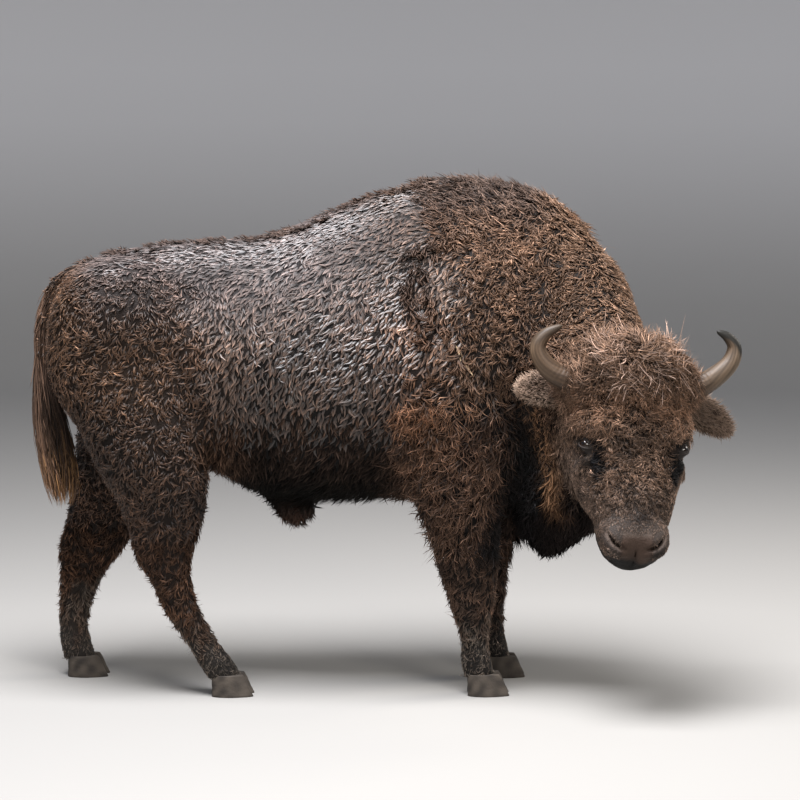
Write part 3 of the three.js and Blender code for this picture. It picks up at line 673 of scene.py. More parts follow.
# ---------------------------------------------------------------- the lie of the coat
GUIDES = [
    # x, |y|, z, direction (y away from the middle), reach
    ((-1120, 60, 1330), (-0.25, 0.1, -1.0), 120),
    ((-1120, 120, 1050), (0.1, 0.1, -1.0), 200),
    ((-950, 200, 1300), (-0.5, 0.2, -0.85), 200),
    ((-850, 260, 1050), (-0.45, 0.0, -0.9), 220),
    ((-620, 280, 1250), (-0.2, 0.05, -1.0), 240),
    ((-600, 160, 1480), (-0.95, 0.3, -0.25), 180),
    ((-500, 290, 900), (-0.1, 0.0, -1.0), 220),
    ((-200, 345, 1150), (-0.48, 0.0, -0.88), 300),
    ((-200, 120, 1600), (-0.9, 0.35, -0.4), 220),
    ((-150, 330, 850), (-0.3, 0.0, -0.95), 220),
    ((-200, 100, 640), (-0.8, 0.0, -0.6), 200),
    ((150, 330, 1150), (-0.42, 0.0, -0.9), 240),
    ((150, 100, 1690), (-0.8, 0.4, 0.1), 200),
    ((200, 300, 800), (-0.25, 0.0, -1.0), 220),
    ((400, 280, 1200), (-0.4, 0.1, -0.9), 220),
    ((420, 80, 1660), (-0.55, 0.6, -0.1), 160),
    ((560, 150, 1450), (-0.35, 0.3, -0.8), 200),
    ((450, 150, 700), (0.1, 0.0, -1.0), 200),
    ((230, 170, 450), (-0.25, 0.05, -1.0), 200),
    ((250, 150, 150), (-0.05, 0.0, -1.0), 150),
    ((-750, 180, 500), (-0.35, 0.0, -0.95), 200),
    ((-640, 160, 180), (0.1, 0.0, -1.0), 150),
    ((-1040, 180, 480), (-0.1, 0.0, -1.0), 180),
]


def lie(p, normal):
    """Direction of the hair along the skin."""
    side = np.sign(p[:, 1:2]) + (p[:, 1:2] == 0)
    d = np.zeros_like(p)
    left = mirrored(p)
    for at, way, reach in GUIDES:
        weight = 1.0 / (((left - at) ** 2).sum(1) / reach**2 + 0.04) ** 2
        d += weight[:, None] * unit(way)
    d[:, 1:2] *= side
    # neck and throat mane: down, and back round the turned neck
    d = mix(unit(d), unit([-0.25, 0.12, -0.95]), step(430, 640, p[:, 0]))
    # head: away from the whorl of the crown, down the face, down and back on the cheeks
    q = to_head(p)
    t, w, n = q.T
    s = np.abs(w)
    sign = np.sign(w) + (w == 0)
    crown = unit(np.stack([t + 25, 1.1 * w, 0.5 * (n + 60)], 1) + 1e-6)
    face = [np.full_like(t, 0.9), 0.75 * sign * step(15, 120, s), -0.45 * step(60, 150, s)]
    h = mix(crown, unit(np.stack(face, 1)), step(150, 320, t))
    h = mix(h, unit([0.75, 0.0, -0.65]), step(-120, -200, n) * step(120, 220, t))
    h = mix(unit(h) @ HEAD_AXES, np.array([-0.1, 0.05, -1.0]), step(-270, -360, n))
    d = mix(d, h, step(-30, 40, head_side(q)) * step(330, 480, p[:, 0]))
    d = d - normal * (d * normal).sum(1, keepdims=True)
    return unit(d + 1e-9)


# ---------------------------------------------------------------- skin
BODY_CELL, HEAD_CELL = 13.0, 5.0
SKIN_LOW, SKIN_HIGH = (-1260, -760, 52), (1080, 420, 1760)  # from the top of the hooves up
HEAD_LOW, HEAD_HIGH = (from_head((255, 0, -190)) + np.array([430, 400, 440]) * way for way in (-1, 1))
body_v, body_f = polygonise(body_shell, SKIN_LOW, SKIN_HIGH, BODY_CELL)
head_v, head_f = polygonise(head_shell, HEAD_LOW, HEAD_HIGH, HEAD_CELL, slope_step=0.5)


def head_detail(q):
    return face_detail(q, skin_field(from_head(q)))


# The lid from its rim outwards: how far each ring lies from the opening, its height over the ball, how much
# of it lies on the skin of the face and how far above that skin, and its tone.
LID = [
    # out, height, share, over the skin, tone
    (0.0, 0.4, 0, 0, 0.006), (1.6, 2.6, 0, 0, 0.012), (4.0, 3.6, 0, 0, 0.026), (7.0, 3.4, 0, 0, 0.018),
    (10.0, 2.2, 0.35, -1.0, 0.026), (14.0, 0, 0.8, -1.0, 0.030), (19.0, 0, 1.0, -1.0, 0.034),
    (25.0, 0, 1.0, -1.0, 0.034), (31.0, 0, 1.0, -9.0, 0.034),
]


def eyelids(side):
    """A closed ring of lid round the opening: from the ball's surface out under the skin."""
    cols = 72
    cx, cy = np.cos(circle(cols)), np.sin(circle(cols))
    ex = 20.5 * cx
    ey = np.where(cy > 0, 11.5, 9.0) * cy * (1 - 0.32 * cx**2)
    rows = []
    for k, (out, height, share, over, _) in enumerate(LID):
        gx, gy = ex + out * cx, ey + out * cy * 0.9
        crease = 1.4 * (k == 3) * step(-0.2, 0.5, cy)
        radius = EYE_R + height - crease
        h = np.sqrt(np.maximum(radius**2 - np.hypot(gx, gy)**2, 4.0))
        flat = EYE + gx[:, None] * EYE_LONG + gy[:, None] * EYE_UP
        q = flat + h[:, None] * EYE_OUT
        if share:
            on = flat + 14 * EYE_OUT
            for _ in range(8):
                on = on - off_by(head_detail, on, 1.5, 0.3, over) * 0.9
            q = q + (on - q) * share
        rows.append(q)
    q = np.concatenate(rows + [EYE[None]])
    q[:, 1] *= side
    n = len(rows)
    idx, nxt, quads = ring_grid(n, cols)
    fans = np.concatenate([fan(n * cols, nxt[-1], idx[-1]), fan(n * cols, idx[0], nxt[0])])
    if np.cross(EYE_LONG, EYE_UP) @ EYE_OUT * side > 0:
        quads, fans = quads[:, ::-1], fans[:, ::-1]
    # painted highlight: the lower lid's rim a little lighter
    lower_lid_glint = np.tile(step(-0.1, -0.8, cy), (n, 1)) * np.isin(np.arange(n), [1, 2])[:, None]
    tone = np.repeat(np.array(LID)[:, 4:], cols, 1) + 0.02 * lower_lid_glint
    return from_head(q), quads, fans, np.append(tone.ravel(), 0.01)[:, None] * rgb(1.0, 0.80, 0.72)


skin_v = np.concatenate([body_v, head_v])
skin_f = np.concatenate([body_f, head_f + len(body_v)])
body_n = unit(gradient(skin_field, body_v, 6.0))
head_n = unit(gradient(lambda p: smin(skin_field(p), body_field(p) + 40, 1), head_v, 3.0))
skin_n = np.concatenate([body_n, head_n])
bare = bare_at(skin_v)
q_skin = to_head(skin_v)
on_body = np.arange(len(skin_v)) < len(body_v)

# the skin is dark under the coat, as painted shade between the locks, and round the eyes; inside nostrils,
# mouth and other deep places of the face near black, as painted shade; paler where it is bare
tint = colour_at(skin_v)
under_coat = np.where(on_body, 0.04 + 0.07 * step(-420, -700, skin_v[:, 0]), 0.18)
round_eye = step(30, 22, np.linalg.norm(mirrored(q_skin) - EYE - 8 * EYE_OUT, axis=1))
recess_shade = np.zeros(len(skin_v))
recess_shade[len(body_v):] = step(-3, -14, body_field(head_v) + coat_depth(head_v))
skin_tint = mix(tint * under_coat[:, None], tint * 0.52, bare)
skin_tint = paint(skin_tint, (0.45, round_eye), ((0.012, 0.009, 0.008), recess_shade))

all_v, all_quads, all_fans, all_tint = [skin_v], [skin_f], [], [skin_tint]
for side in SIDES.values():
    v, quads, fans, tone = eyelids(side)
    count = sum(map(len, all_v))
    all_v.append(v)
    all_quads.append(quads + count)
    all_fans.append(fans + count)
    all_tint.append(tone)
skin_faces = [np.concatenate(all_quads), np.concatenate(all_fans)]
skin = make_mesh("skin", np.concatenate(all_v), skin_faces, np.concatenate(all_tint))

# ---------------------------------------------------------------- coat
# Where a lock's rings of three sit along it; the number of its vertices gives its triangles.
RINGS = {0: [0.0], 1: [0.0, 0.52], 2: [0.0, 0.36, 0.70], 4: [0.0, 0.2, 0.42, 0.64, 0.84]}
UV_LOW, UV_HIGH = rgb(-1250, -760, 0), rgb(1150, 420, 1760)
UV_MARGIN, UV_HALF_LOCK = 0.03, rgb(0.0012, 0.0014)


def unwrap(root, normal):
    """Places of roots on an unwrap of the skin: six faces of a box, three by two."""
    each = np.arange(len(root))
    axis = np.abs(normal).argmax(1)
    chart = axis * 2 + (normal[each, axis] > 0)
    f = (root - UV_LOW) / (UV_HIGH - UV_LOW)
    other = np.array([[1, 2], [0, 2], [0, 1]])[axis]
    a, b = (np.clip(f[each, other[:, k]], 0, 1) for k in (0, 1))
    share = 1 - 2 * UV_MARGIN
    return np.stack([(chart % 3 + UV_MARGIN + share * a) / 3, (chart // 3 + UV_MARGIN + share * b) / 2], 1)


def locks(root, normal, along, length, width, lift, curl, wave, colour, dark, rings,
          flat=0.5, droop=0.35, taper=0.6, bleach=0.25, bend=None, edge=0.8):
    """Closed tapering locks: vertices, triangles, colours and uv."""
    column = lambda v: np.broadcast_to(np.asarray(v, float), (len(root),))[:, None]
    length, width, lift, curl, wave, bleach = map(column, (length, width, lift, curl, wave, bleach))
    across = np.cross(normal, along)
    phase = rng.uniform(0, 2 * math.pi, (len(root), 1))
    verts, tone, uvs = [], [], []
    home = unwrap(root, normal)

    def centre(s):
        side = length * (curl * s * s + wave * (np.sin(5.5 * s + phase) - np.sin(phase)) * s)
        rise = length * np.sin(lift) * (s * (1 + droop) - droop * s * s) - 2.0
        c = root + along * length * np.cos(lift) * s + normal * rise + across * side
        return c if bend is None else c + bend * 4 * s * (1 - s)

    for s in RINGS[rings]:
        c = centre(s)
        fat = width * (0.8 + 0.2 * min(1, s / 0.3)) * (1 - taper * max(0.0, s - 0.3) / 0.7)
        verts += [c - across * fat, c + across * fat, c + normal * fat * 2 * flat]
        # painted shade: a lock's two edges darker than its ridge, like the cracks between locks
        tone += [s * edge, s * edge, s]
        uvs += [home + UV_HALF_LOCK * [side, 2 * s - 1] for side in (-1, 1, 0)]
    verts.append(centre(1.0))
    tone.append(1.0)
    uvs.append(home + UV_HALF_LOCK * [0, 1])
    v = np.stack(verts, 1).reshape(-1, 3)
    tone = np.array(tone)[None, :, None]
    # painted shade: each lock darker towards its root, deep in the coat
    c = colour[:, None, :] * (dark + (1 - dark) * np.clip(tone * 1.2, 0, 1) ** 1.5)
    c = c * (1 + bleach[:, None] * tone**2 * np.array([1.0, 0.9, 0.8]))
    tip = len(verts) - 1
    tri = [(0, 2, 1)]
    for a in range(0, tip - 3, 3):
        for i, j in ((0, 1), (1, 2), (2, 0)):
            tri += [(a + i, a + j, a + j + 3), (a + i, a + j + 3, a + i + 3)]
    a = tip - 3
    tri += [(a, a + 1, tip), (a + 1, a + 2, tip), (a + 2, a, tip)]
    return v, np.array(tri), c.reshape(-1, 3), np.stack(uvs, 1).reshape(-1, 2)


# How far single locks turn from their clump's way, and how much clumps and their locks vary in lightness;
# how fine hairs differ from locks: longer, more bleached at the tip and less dark at the root.
CHAOS, CLUMP_TONE, LOCK_TONE = 0.12, 0.34, 0.22
FINE_LONGER, FINE_BLEACH, FINE_DARK = 1.12, 1.6, 0.3
coat_parts = []


def grow(name, pick, chance, mains, fines, spread, length, width, lift, rings, curl=0.12, wave=0.05,
         turn=0.35, gather=0.7, dark=0.05, flat=0.5, droop=0.35, min_bare=0.4, taper=0.6, bleach=0.25,
         way=None, fine_width=1.0, tint_by=1.0, edge=0.8):
    """Clumps of locks rooted by chance at the picked vertices of the skin, with fine hairs over them.

    Each clump has `mains` locks and `fines` hairs. chance, length, width, lift and bleach are numbers
    or arrays over the skin's vertices."""
    full = lambda v: np.broadcast_to(np.asarray(v, float), (len(skin_v),))
    i = np.flatnonzero(pick & (rng.random(len(skin_v)) < full(chance)) & (bare < min_bare))
    cell = np.where(i < len(body_v), BODY_CELL, HEAD_CELL)[:, None]
    n = skin_n[i]
    d = lie(skin_v[i], n)
    if way is not None:
        d = unit(np.broadcast_to(unit(way), d.shape) + 1e-9)
        d = turned_from(n, d, 0.8)
    b = unit(np.cross(n, d))
    jitter = d * rng.uniform(-0.5, 0.5, (len(i), 1)) + b * rng.uniform(-0.5, 0.5, (len(i), 1))
    centre = skin_v[i] + jitter * cell
    sway = turn * (0.6 * waves(centre, 70, 21) + 0.8 * waves(centre, 26, 22)) + rng.normal(0, CHAOS, len(i))
    d2 = d * np.cos(sway)[:, None] + b * np.sin(sway)[:, None]
    b2 = np.cross(n, d2)
    clump_curl = rng.normal(0, curl * 1.3, len(i))
    clump_tone = np.exp(rng.normal(0, CLUMP_TONE, len(i)) + 0.16 * waves(centre, 16, 23))
    for part, strands, ring_set, far in (("", mains, rings, 1.0), ("_fine", fines, 0, FINE_LONGER)):
        if not strands:
            continue
        broad = not part
        m = len(i) * strands
        rep = np.repeat(np.arange(len(i)), strands)
        here = lambda v: full(v)[i][rep]
        ang = rng.uniform(0, 2 * math.pi, m)
        rad = np.sqrt(rng.random(m)) * spread * (0.3 if broad and strands == 1 else 1.0)
        off_b, off_d = np.cos(ang) * rad * 0.75, np.sin(ang) * rad * 1.2
        root = centre[rep] + b2[rep] * off_b[:, None] + d2[rep] * off_d[:, None]
        long_ = here(length) * rng.uniform(0.72, 1.18, m) * far
        # the strands of a clump draw together at their tips
        pull = np.clip(-off_b * gather / long_, -0.8, 0.8)
        d3 = unit(d2[rep] + b2[rep] * (pull + rng.normal(0, CHAOS, m))[:, None])
        c = colour_at(root) * (clump_tone[rep] * np.exp(rng.normal(0, LOCK_TONE, m)))[:, None] * tint_by
        if broad:
            fat = here(width) * rng.uniform(0.75, 1.25, m)
        else:
            fat = fine_width * rng.uniform(0.8, 1.3, m)
        side = rng.normal(0, curl, m) + clump_curl[rep]
        rise = here(lift) * rng.uniform(0.6, 1.35, m)
        bleached = here(bleach) * (1 if broad else FINE_BLEACH)
        hair = locks(root, n[rep], d3, long_, fat, rise, side, wave, c, dark if broad else FINE_DARK,
                     ring_set, flat, droop, taper, bleached, edge=edge)
        coat_parts.append((name + part, hair))


# Where each kind of coat grows, over the skin's vertices: masks, and shares from 0 to 1.
P = skin_v
X, Y, Z = P.T
T, W, N = q_skin.T
S = np.abs(W)
side_h = head_side(q_skin)
in_head = ~on_body & (side_h > 2)
body_pick = on_body & ~((side_h > -2) & (X > 420))
low_leg = step(640, 420, Z) * step(560, 480, X)
foot = step(250, 120, Z)
mane = step(-40, 330, X + 80 * waves(P, 200, 5)) + step(20, 160, X) * step(1010, 860, Z) * step(500, 650, Z)
dry = np.clip(mane, 0, 1) > rng.uniform(0.2, 0.8, len(P))
ridge = np.exp(-((Y / 60) ** 2)) * step(1380, 1460, Z) * step(0.5, 0.9, skin_n[:, 2])
ridge = ridge * step(-0.35, 0.25, waves(P, 45, 8) + 0.5 * step(-100, 200, X))
hump = step(-100, 200, X) * step(1250, 1600, Z)
rump = step(-520, -760, X + 50 * waves(P, 120, 6)) * step(1440, 1330, Z)
under = step(-0.2, -0.8, skin_n[:, 2]) * step(900, 760, Z) * step(560, 640, Z)
trunkish = body_pick & (low_leg < 0.5)
wet = trunkish & ~dry
jaw_near = blob(jaw_x(P), 30, 40) * step(-120, -200, Y) * step(560, 660, Z) * step(1050, 990, Z)

# the wet body: flat joined plates above, duller ones on the lower flank, tufts on the rump
body_len = 35 - 9 * rump + 26 * under
body_wid = 5.0 - 1.4 * rump
body_lift = 0.22 + 0.18 * rump + 0.2 * under
wetness = step(800, 1000, Z) > rng.random(len(P))
plates = dict(turn=0.36, curl=0.18, wave=0.10, flat=0.20, taper=0.4, dark=0.02, bleach=0.15, edge=0.6)
flanks = wet & (rump < 0.5)
grow("trunk", flanks & wetness, 0.90, 1, 1, 7.0, body_len, body_wid, body_lift, 1, **plates)
grow("flank", flanks & ~wetness, 0.80, 1, 2, 7.0, body_len, body_wid - 0.9, body_lift + 0.05, 1, **plates)
grow("rump", wet & (rump >= 0.5), 0.70, 2, 1, 7.0, body_len, body_wid, body_lift, 1, turn=0.9, curl=0.4,
     flat=0.25, taper=0.4, dark=0.02, bleach=1.1, edge=0.6)

# the dry coat of shoulder, hump, neck and legs
shaggy = step(1040, 960, Z) * step(440, 540, Z) * step(-50, 20, X) * step(400, 350, X)
shaggy = shaggy * step(0.25, 0.6, np.abs(skin_n[:, 1]))
shag = body_pick & (shaggy > rng.uniform(0.2, 0.8, len(P)))
grow("shag", shag, 0.50, 2, 3, 8.0, 54, 3.4, 0.42, 2, turn=0.7, curl=0.35, wave=0.22, dark=0.02, bleach=2.8,
     edge=0.5)
mane_len = (31 + 15 * hump) * (1 - 0.3 * jaw_near)
grow("mane", trunkish & dry & ~shag, 0.85, 2, 1, 8.0, mane_len + 20 * under, 3.1, 0.46 - 0.2 * jaw_near, 1,
     turn=0.85, curl=0.4, wave=0.12, edge=0.6, dark=0.02, bleach=0.8)
grow("ridge", trunkish & (ridge > 0.3), 0.55, 3, 3, 8.0, 30 + 12 * hump, 3.0, 0.60, 2, turn=0.9, curl=0.3,
     wave=0.08, tint_by=rgb(0.7, 0.62, 0.55))
grow("legs", body_pick & (low_leg >= 0.5) & ~shag, 0.85, 2, 1, 7.0, 28 - 14 * foot, 2.8 - 1.0 * foot,
     0.34 - 0.16 * foot, 1, turn=0.7, curl=0.35, dark=0.03, bleach=0.9, fine_width=0.8)
chest = on_body & (X > 350) & (X < 640) & (Z > 440) & (Z < 640) & (skin_n[:, 2] < 0.1) & (side_h < 30)
grow("beard", chest, 0.5, 3, 3, 9.0, 52 + 30 * step(440, 380, X), 3.6, 0.22, 2, turn=0.4, curl=0.2,
     wave=0.06, dark=0.4, way=(-0.15, 0, -1))
sheath = on_body & (np.abs(X + 352) < 70) & (np.abs(Y) < 55) & (Z < 620)
grow("sheath", sheath, 0.7, 3, 2, 7.0, 48, 3.0, 0.2, 2, turn=0.4, curl=0.2, dark=0.4, way=(0.35, 0, -1),
     bleach=0.8)

# the head: short on the face, curly on crown and forehead, long under the jaw and round the horns
crown = step(175, 60, T) * step(-230, -130, N)
front = step(520, 380, T) * step(-190, -110, N) * step(150, 110, S * step(200, 260, T))
jowl = step(-190, -260, N) * step(600, 480, T)
beard = step(-280, -350, N) * step(200, 320, T)
muzzle = step(470, 560, T)
socket = step(75, 45, np.linalg.norm(mirrored(q_skin) - EYE, axis=1))
face_len = 17 - 8 * muzzle + 13 * front * step(440, 200, T) + 22 * crown + 14 * jowl + 24 * beard
face_len = face_len * (1 - 0.4 * socket)
face_wid = 2.2 - 0.7 * muzzle + 0.4 * front + 0.5 * crown + 0.6 * jowl
face_lift = 0.26 + 0.32 * front + 0.20 * crown + 0.08 * jowl - 0.05 * muzzle
plain = in_head & (front < 0.35) & (crown < 0.35)
curly = in_head & ~((front < 0.35) & (crown < 0.35))
grow("face", plain & (jowl < 0.4), (0.36 + 0.2 * muzzle) * (1 - 0.8 * bare), 2, 2, 5.0,
     face_len * (1 - 0.6 * bare), face_wid * (1 - 0.4 * bare), face_lift * (1 - 0.6 * bare), 1, turn=0.7,
     curl=0.3, dark=0.04, min_bare=0.85, fine_width=0.7, bleach=1.3)
grow("crown", curly, 0.25 + 0.05 * crown, 3, 1, 6.0, face_len, face_wid, face_lift, 1, turn=1.3, curl=0.5,
     wave=0.18, gather=0.9, dark=0.02, droop=0.6, bleach=1.6 - 0.9 * crown, fine_width=0.8)
grow("jowl", plain & (jowl >= 0.4), 0.13, 3, 2, 7.0, face_len, face_wid, face_lift, 2, turn=0.4, curl=0.18,
     wave=0.07, dark=0.08, bleach=0.4)
for name, path in HORNS.items():
    side = SIDES[name]
    base, away = rgb(*path[0]) * [1, side, 1], unit(rgb(*path[1]) - path[0]) * [1, side, 1]
    from_horn = np.linalg.norm((q_skin - base) - ((q_skin - base) @ away)[:, None] * away, axis=1)
    collar = in_head & (from_horn > 26) & (from_horn < 66) & (W * side > 90) & (T < 150)
    grow("collar", collar, 0.30, 3, 2, 6.0, 44, 2.2, 0.5, 2, turn=0.9, curl=0.4, wave=0.15, dark=0.04,
         bleach=0.8, way=from_head(away) - from_head(np.zeros(3)))
whorl = in_head & (np.hypot(T + 10, W) < 95) & (N > -150)
grow("wisps", whorl, 0.045, 3, 0, 9.0, 88, 1.9, 0.50, 4, turn=1.2, curl=0.4, wave=0.12, gather=0.8,
     dark=0.4, bleach=0.8, tint_by=rgb(1.5, 1.7, 2.0))


def along_path(points, x):
    """Places and directions at fractions x of a smooth line through points."""
    pts = np.asarray(points, float)
    run = np.concatenate([[0], np.cumsum(np.linalg.norm(np.diff(pts, axis=0), axis=1))])
    f = [curve(run / run[-1], pts[:, k]) for k in range(3)]
    at = lambda u: np.stack([g(u) for g in f], 1)
    return at(x), unit(at(np.minimum(x + 0.02, 1.0)) - at(np.maximum(x - 0.02, 0.0)))


# tail: strands that follow its line, long ones off the end of the dock
STRANDS = 2100
TAIL_LOCKS = 64
start = rng.random(STRANDS) ** 0.9 * 0.72
reach = 0.15 + 0.40 * step(0.22, 0.5, start) * rng.uniform(0.35, 1.0, STRANDS)
finish = np.minimum(start + reach, rng.uniform(0.86, 1.0, STRANDS))
middle = (start + finish) / 2
ang = rng.uniform(0, 2 * math.pi, STRANDS)
away = np.stack([np.cos(ang), np.sin(ang) * 0.8, np.zeros(STRANDS)], 1)
girth = lambda u: 30 + 34 * step(0.35, 0.72, u) * (1 - 0.7 * step(0.76, 1, u))
dock = 21 - 14 * step(0.0, 0.7, start)
p0, _ = along_path(TAIL, start)
p1, t1 = along_path(TAIL, finish)
pm, _ = along_path(TAIL, middle)
own = rng.uniform(0.15, 1.0, STRANDS)
p0 = p0 + away * dock[:, None] * 0.9
p1 = p1 + away * (girth(finish) * own)[:, None] + t1 * 10 + rng.normal(0, 5, (STRANDS, 3))
pm = pm + away * (girth(middle) * own**0.7)[:, None]
long_ = np.linalg.norm(p1 - p0, axis=1)
d = unit(p1 - p0)
out = turned_from(d, away)
lock_tone = np.exp(rng.normal(0, 0.45, TAIL_LOCKS))[np.floor(ang * 7).astype(int)]
tint = paint(
    np.tile([0.130, 0.080, 0.055], (STRANDS, 1)),
    ((0.022, 0.015, 0.012), step(0.2, 0.5, start) * step(-0.5, 0.5, np.cos(ang)) * 0.92),
    ((0.42, 0.23, 0.10), step(0.45, 0.70, start) * rng.random(STRANDS) * 0.8),
)
tint = tint * (lock_tone * np.exp(rng.normal(0, 0.25, STRANDS)))[:, None]
wide, curls = rng.uniform(1.6, 3.4, STRANDS), rng.normal(0, 0.05, STRANDS)
hair = locks(p0, out, d, long_, wide, 0.0, curls, 0.03, tint, 0.3, 4, bleach=0.6, bend=pm - (p0 + p1) / 2)
coat_parts.append(("tail", hair))

# moult: thick matted tufts along lines of the shoulder and hump
MOULT = [
    # line, tufts, lightness
    ([(3, -252, 1427), (48, -237, 1459), (96, -227, 1478), (145, -212, 1503), (200, -196, 1528),
      (251, -191, 1528)], 34, 1.0),
    ([(80, -251, 1427), (70, -275, 1371), (89, -294, 1321), (115, -312, 1271), (140, -328, 1215),
      (165, -339, 1158), (197, -346, 1102), (226, -348, 1044)], 48, 1.1),
    ([(76, -338, 999), (83, -334, 953), (93, -325, 901), (115, -319, 849)], 20, 1.25),
    ([(13, -326, 895), (38, -300, 811), (64, -286, 728)], 18, 1.0),
    ([(40, -262, 1400), (20, -290, 1320), (60, -318, 1240), (90, -335, 1150)], 26, 0.9),
]
LOCKS_IN_TUFT = 5


def on_skin(p):
    """Points moved onto the skin, and its normals there."""
    for _ in range(5):
        p = p - off_by(skin_field, p, 4.0, 0.2)
    return p, unit(gradient(skin_field, p, 5.0))


for points, count, light in MOULT:
    for side in (1, -1):
        at, tan = along_path(np.array(points, float) * [1, side, 1], np.sort(rng.random(count)))
        at, n = on_skin(at + rng.normal(0, 9, at.shape))
        rep = np.repeat(np.arange(count), LOCKS_IN_TUFT)
        k = len(rep)
        root = at[rep] + rng.normal(0, 5.5, (k, 3))
        down = unit(tan[rep] * 0.5 + rng.normal(0, 0.35, (count, 3))[rep] + np.array([-0.35, 0, -0.8]))
        tint = colour_at(root) * light * 0.85 * np.exp(rng.normal(0, 0.2, count))[rep, None]
        size = rng.uniform(26, 48, k), rng.uniform(2.6, 4.6, k), rng.uniform(0.4, 0.75, k)
        curls = rng.normal(0, 0.45, count)[rep]
        hair = locks(root, n[rep], turned_from(n[rep], down), *size, curls, 0.12, tint, 0.06, 4, droop=0.9,
                     bleach=0.3)
        coat_parts.append(("moult", hair))

# four pale straws that hang from the shoulder
STRAWS = np.array([(165, -336, 1184), (175, -340, 1170), (188, -343, 1150), (205, -346, 1115)], float)
straw, straw_n = on_skin(STRAWS)
straw_way = unit(np.tile([0.42, 0.0, -0.9], (4, 1)) - straw_n * 0.1)
hair = locks(straw, straw_n, straw_way, [70, 92, 84, 60], [4.6, 5.2, 4.4, 3.4], 0.30,
             [0.1, -0.05, 0.12, 0.05], 0.05, np.tile([0.62, 0.47, 0.30], (4, 1)), 0.6, 4)
coat_parts.append(("moult", hair))


# ---------------------------------------------------------------- materials
def material(name, roughness, specular, bump=None):
    """A surface in the mesh's own colours; bump is a noise's scale and detail, its strength and its depth."""
    mat = bpy.data.materials.new(name)
    mat.use_nodes = True
    tree = mat.node_tree
    bsdf = tree.nodes["Principled BSDF"]
    bsdf.inputs["Roughness"].default_value = roughness
    if specular is not None:
        bsdf.inputs["Specular IOR Level"].default_value = specular
    colour = tree.nodes.new("ShaderNodeAttribute")
    colour.attribute_name = "Coat"
    tree.links.new(colour.outputs["Color"], bsdf.inputs["Base Color"])
    if bump:
        kinds = ("ShaderNodeTexNoise", "ShaderNodeBump", "ShaderNodeTexCoord")
        noise, relief, where = map(tree.nodes.new, kinds)
        noise.inputs["Scale"].default_value, noise.inputs["Detail"].default_value = bump[:2]
        relief.inputs["Strength"].default_value, relief.inputs["Distance"].default_value = bump[2:]
        tree.links.new(where.outputs["Object"], noise.inputs["Vector"])
        tree.links.new(noise.outputs["Fac"], relief.inputs["Height"])
        tree.links.new(relief.outputs["Normal"], bsdf.inputs["Normal"])
    return mat


MATERIALS = {
    "coat": material("coat", 0.55, 0.22),
    "wet": material("wet_coat", 0.44, 0.62),
    "damp": material("damp_coat", 0.5, 0.45),
    "dull": material("dull_coat", 0.7, 0.08),
    "hide": material("hide", 0.58, 0.16, (210, 4, 0.7, 0.004)),
    "horn": material("horn", 0.5, 0.3, (90, 5, 0.25, 0.002)),
    "eye": material("eye", 0.07, 0.5),
    "hoof": material("hoof", 0.7, 0.25, (70, 6, 0.6, 0.004)),
    "floor": material("floor", 0.9, None),
}
LOOKS = {"trunk": "wet", "rump": "damp", "flank": "dull", "beard": "dull", "jowl": "dull"}
SLOTS = {"legs": "leg_coat", "tail": "leg_coat"}
SLOTS.update(dict.fromkeys(["face", "crown", "jowl", "wisps", "ears", "collar"], "head_coat"))
MOST_TRIANGLES = 190000
place(skin, MATERIALS["hide"], "coat", "head", "neck", "trunk", "tail",
      "fore_leg_right", "fore_leg_left", "hind_leg_right", "hind_leg_left")


def dress():
    """Make the coat's pieces, one for each name, parted from rear to front where it has too many locks."""
    for name in dict.fromkeys(name for name, _ in coat_parts):
        sets = [v for key, v in coat_parts if key == name]
        tri = sets[0][1]
        v, c, uv = (np.concatenate([s[k] for s in sets]) for k in (0, 2, 3))
        corners = tri.max() + 1
        order = np.argsort(v[::corners, 0], kind="stable")
        group, smooth = name.removesuffix("_fine"), name not in ("trunk", "flank")
        for part, ids in enumerate(np.array_split(order, -(-len(order) * len(tri) // MOST_TRIANGLES))):
            vi = (ids[:, None] * corners + np.arange(corners)).ravel()
            faces = (tri[None] + (np.arange(len(ids)) * corners)[:, None, None]).reshape(-1, 3)
            obj = make_mesh(f"coat_{name}_{part + 1}", v[vi], faces, c[vi], smooth, uv[vi])
            place(obj, MATERIALS[LOOKS.get(group, "coat")], SLOTS.get(group, "coat"))


# ---------------------------------------------------------------- ears
EAR_LONG, EAR_WIDE, EAR_THICK, EAR_HOLLOW = 84.0, 50.0, 14.0, 20.0
UNDER_HAIR = 7.0  # the hide lies this far inside the ear's solid
EARS = {"right": ((72, 216, -190), 0.04), "left": ((110, 226, -190), 0.6)}  # root, droop
HAIRS = 2700


def ear_place(side, root, droop, a, b, c):
    """a along, b across, c through the leaf, each -1 to 1."""
    out = unit([droop, 1, -0.1])
    facing = unit([0.1, 0.1, 1])
    across = unit(np.cross(facing, out))
    al = EAR_LONG * 0.55 + a * (EAR_LONG - UNDER_HAIR)
    sw = b * (EAR_WIDE * (1 - 0.2 * a) - UNDER_HAIR)
    th = c * (EAR_THICK - UNDER_HAIR * 0.7) - EAR_HOLLOW * 0.9 * c * np.abs(c) * (c > 0)
    th = th - EAR_HOLLOW * 0.4 * (1 - b * b) * (1 - a * a)
    q = np.asarray(root, float) + al[:, None] * out + sw[:, None] * across + th[:, None] * facing
    q[:, 1] *= side
    return from_head(q)


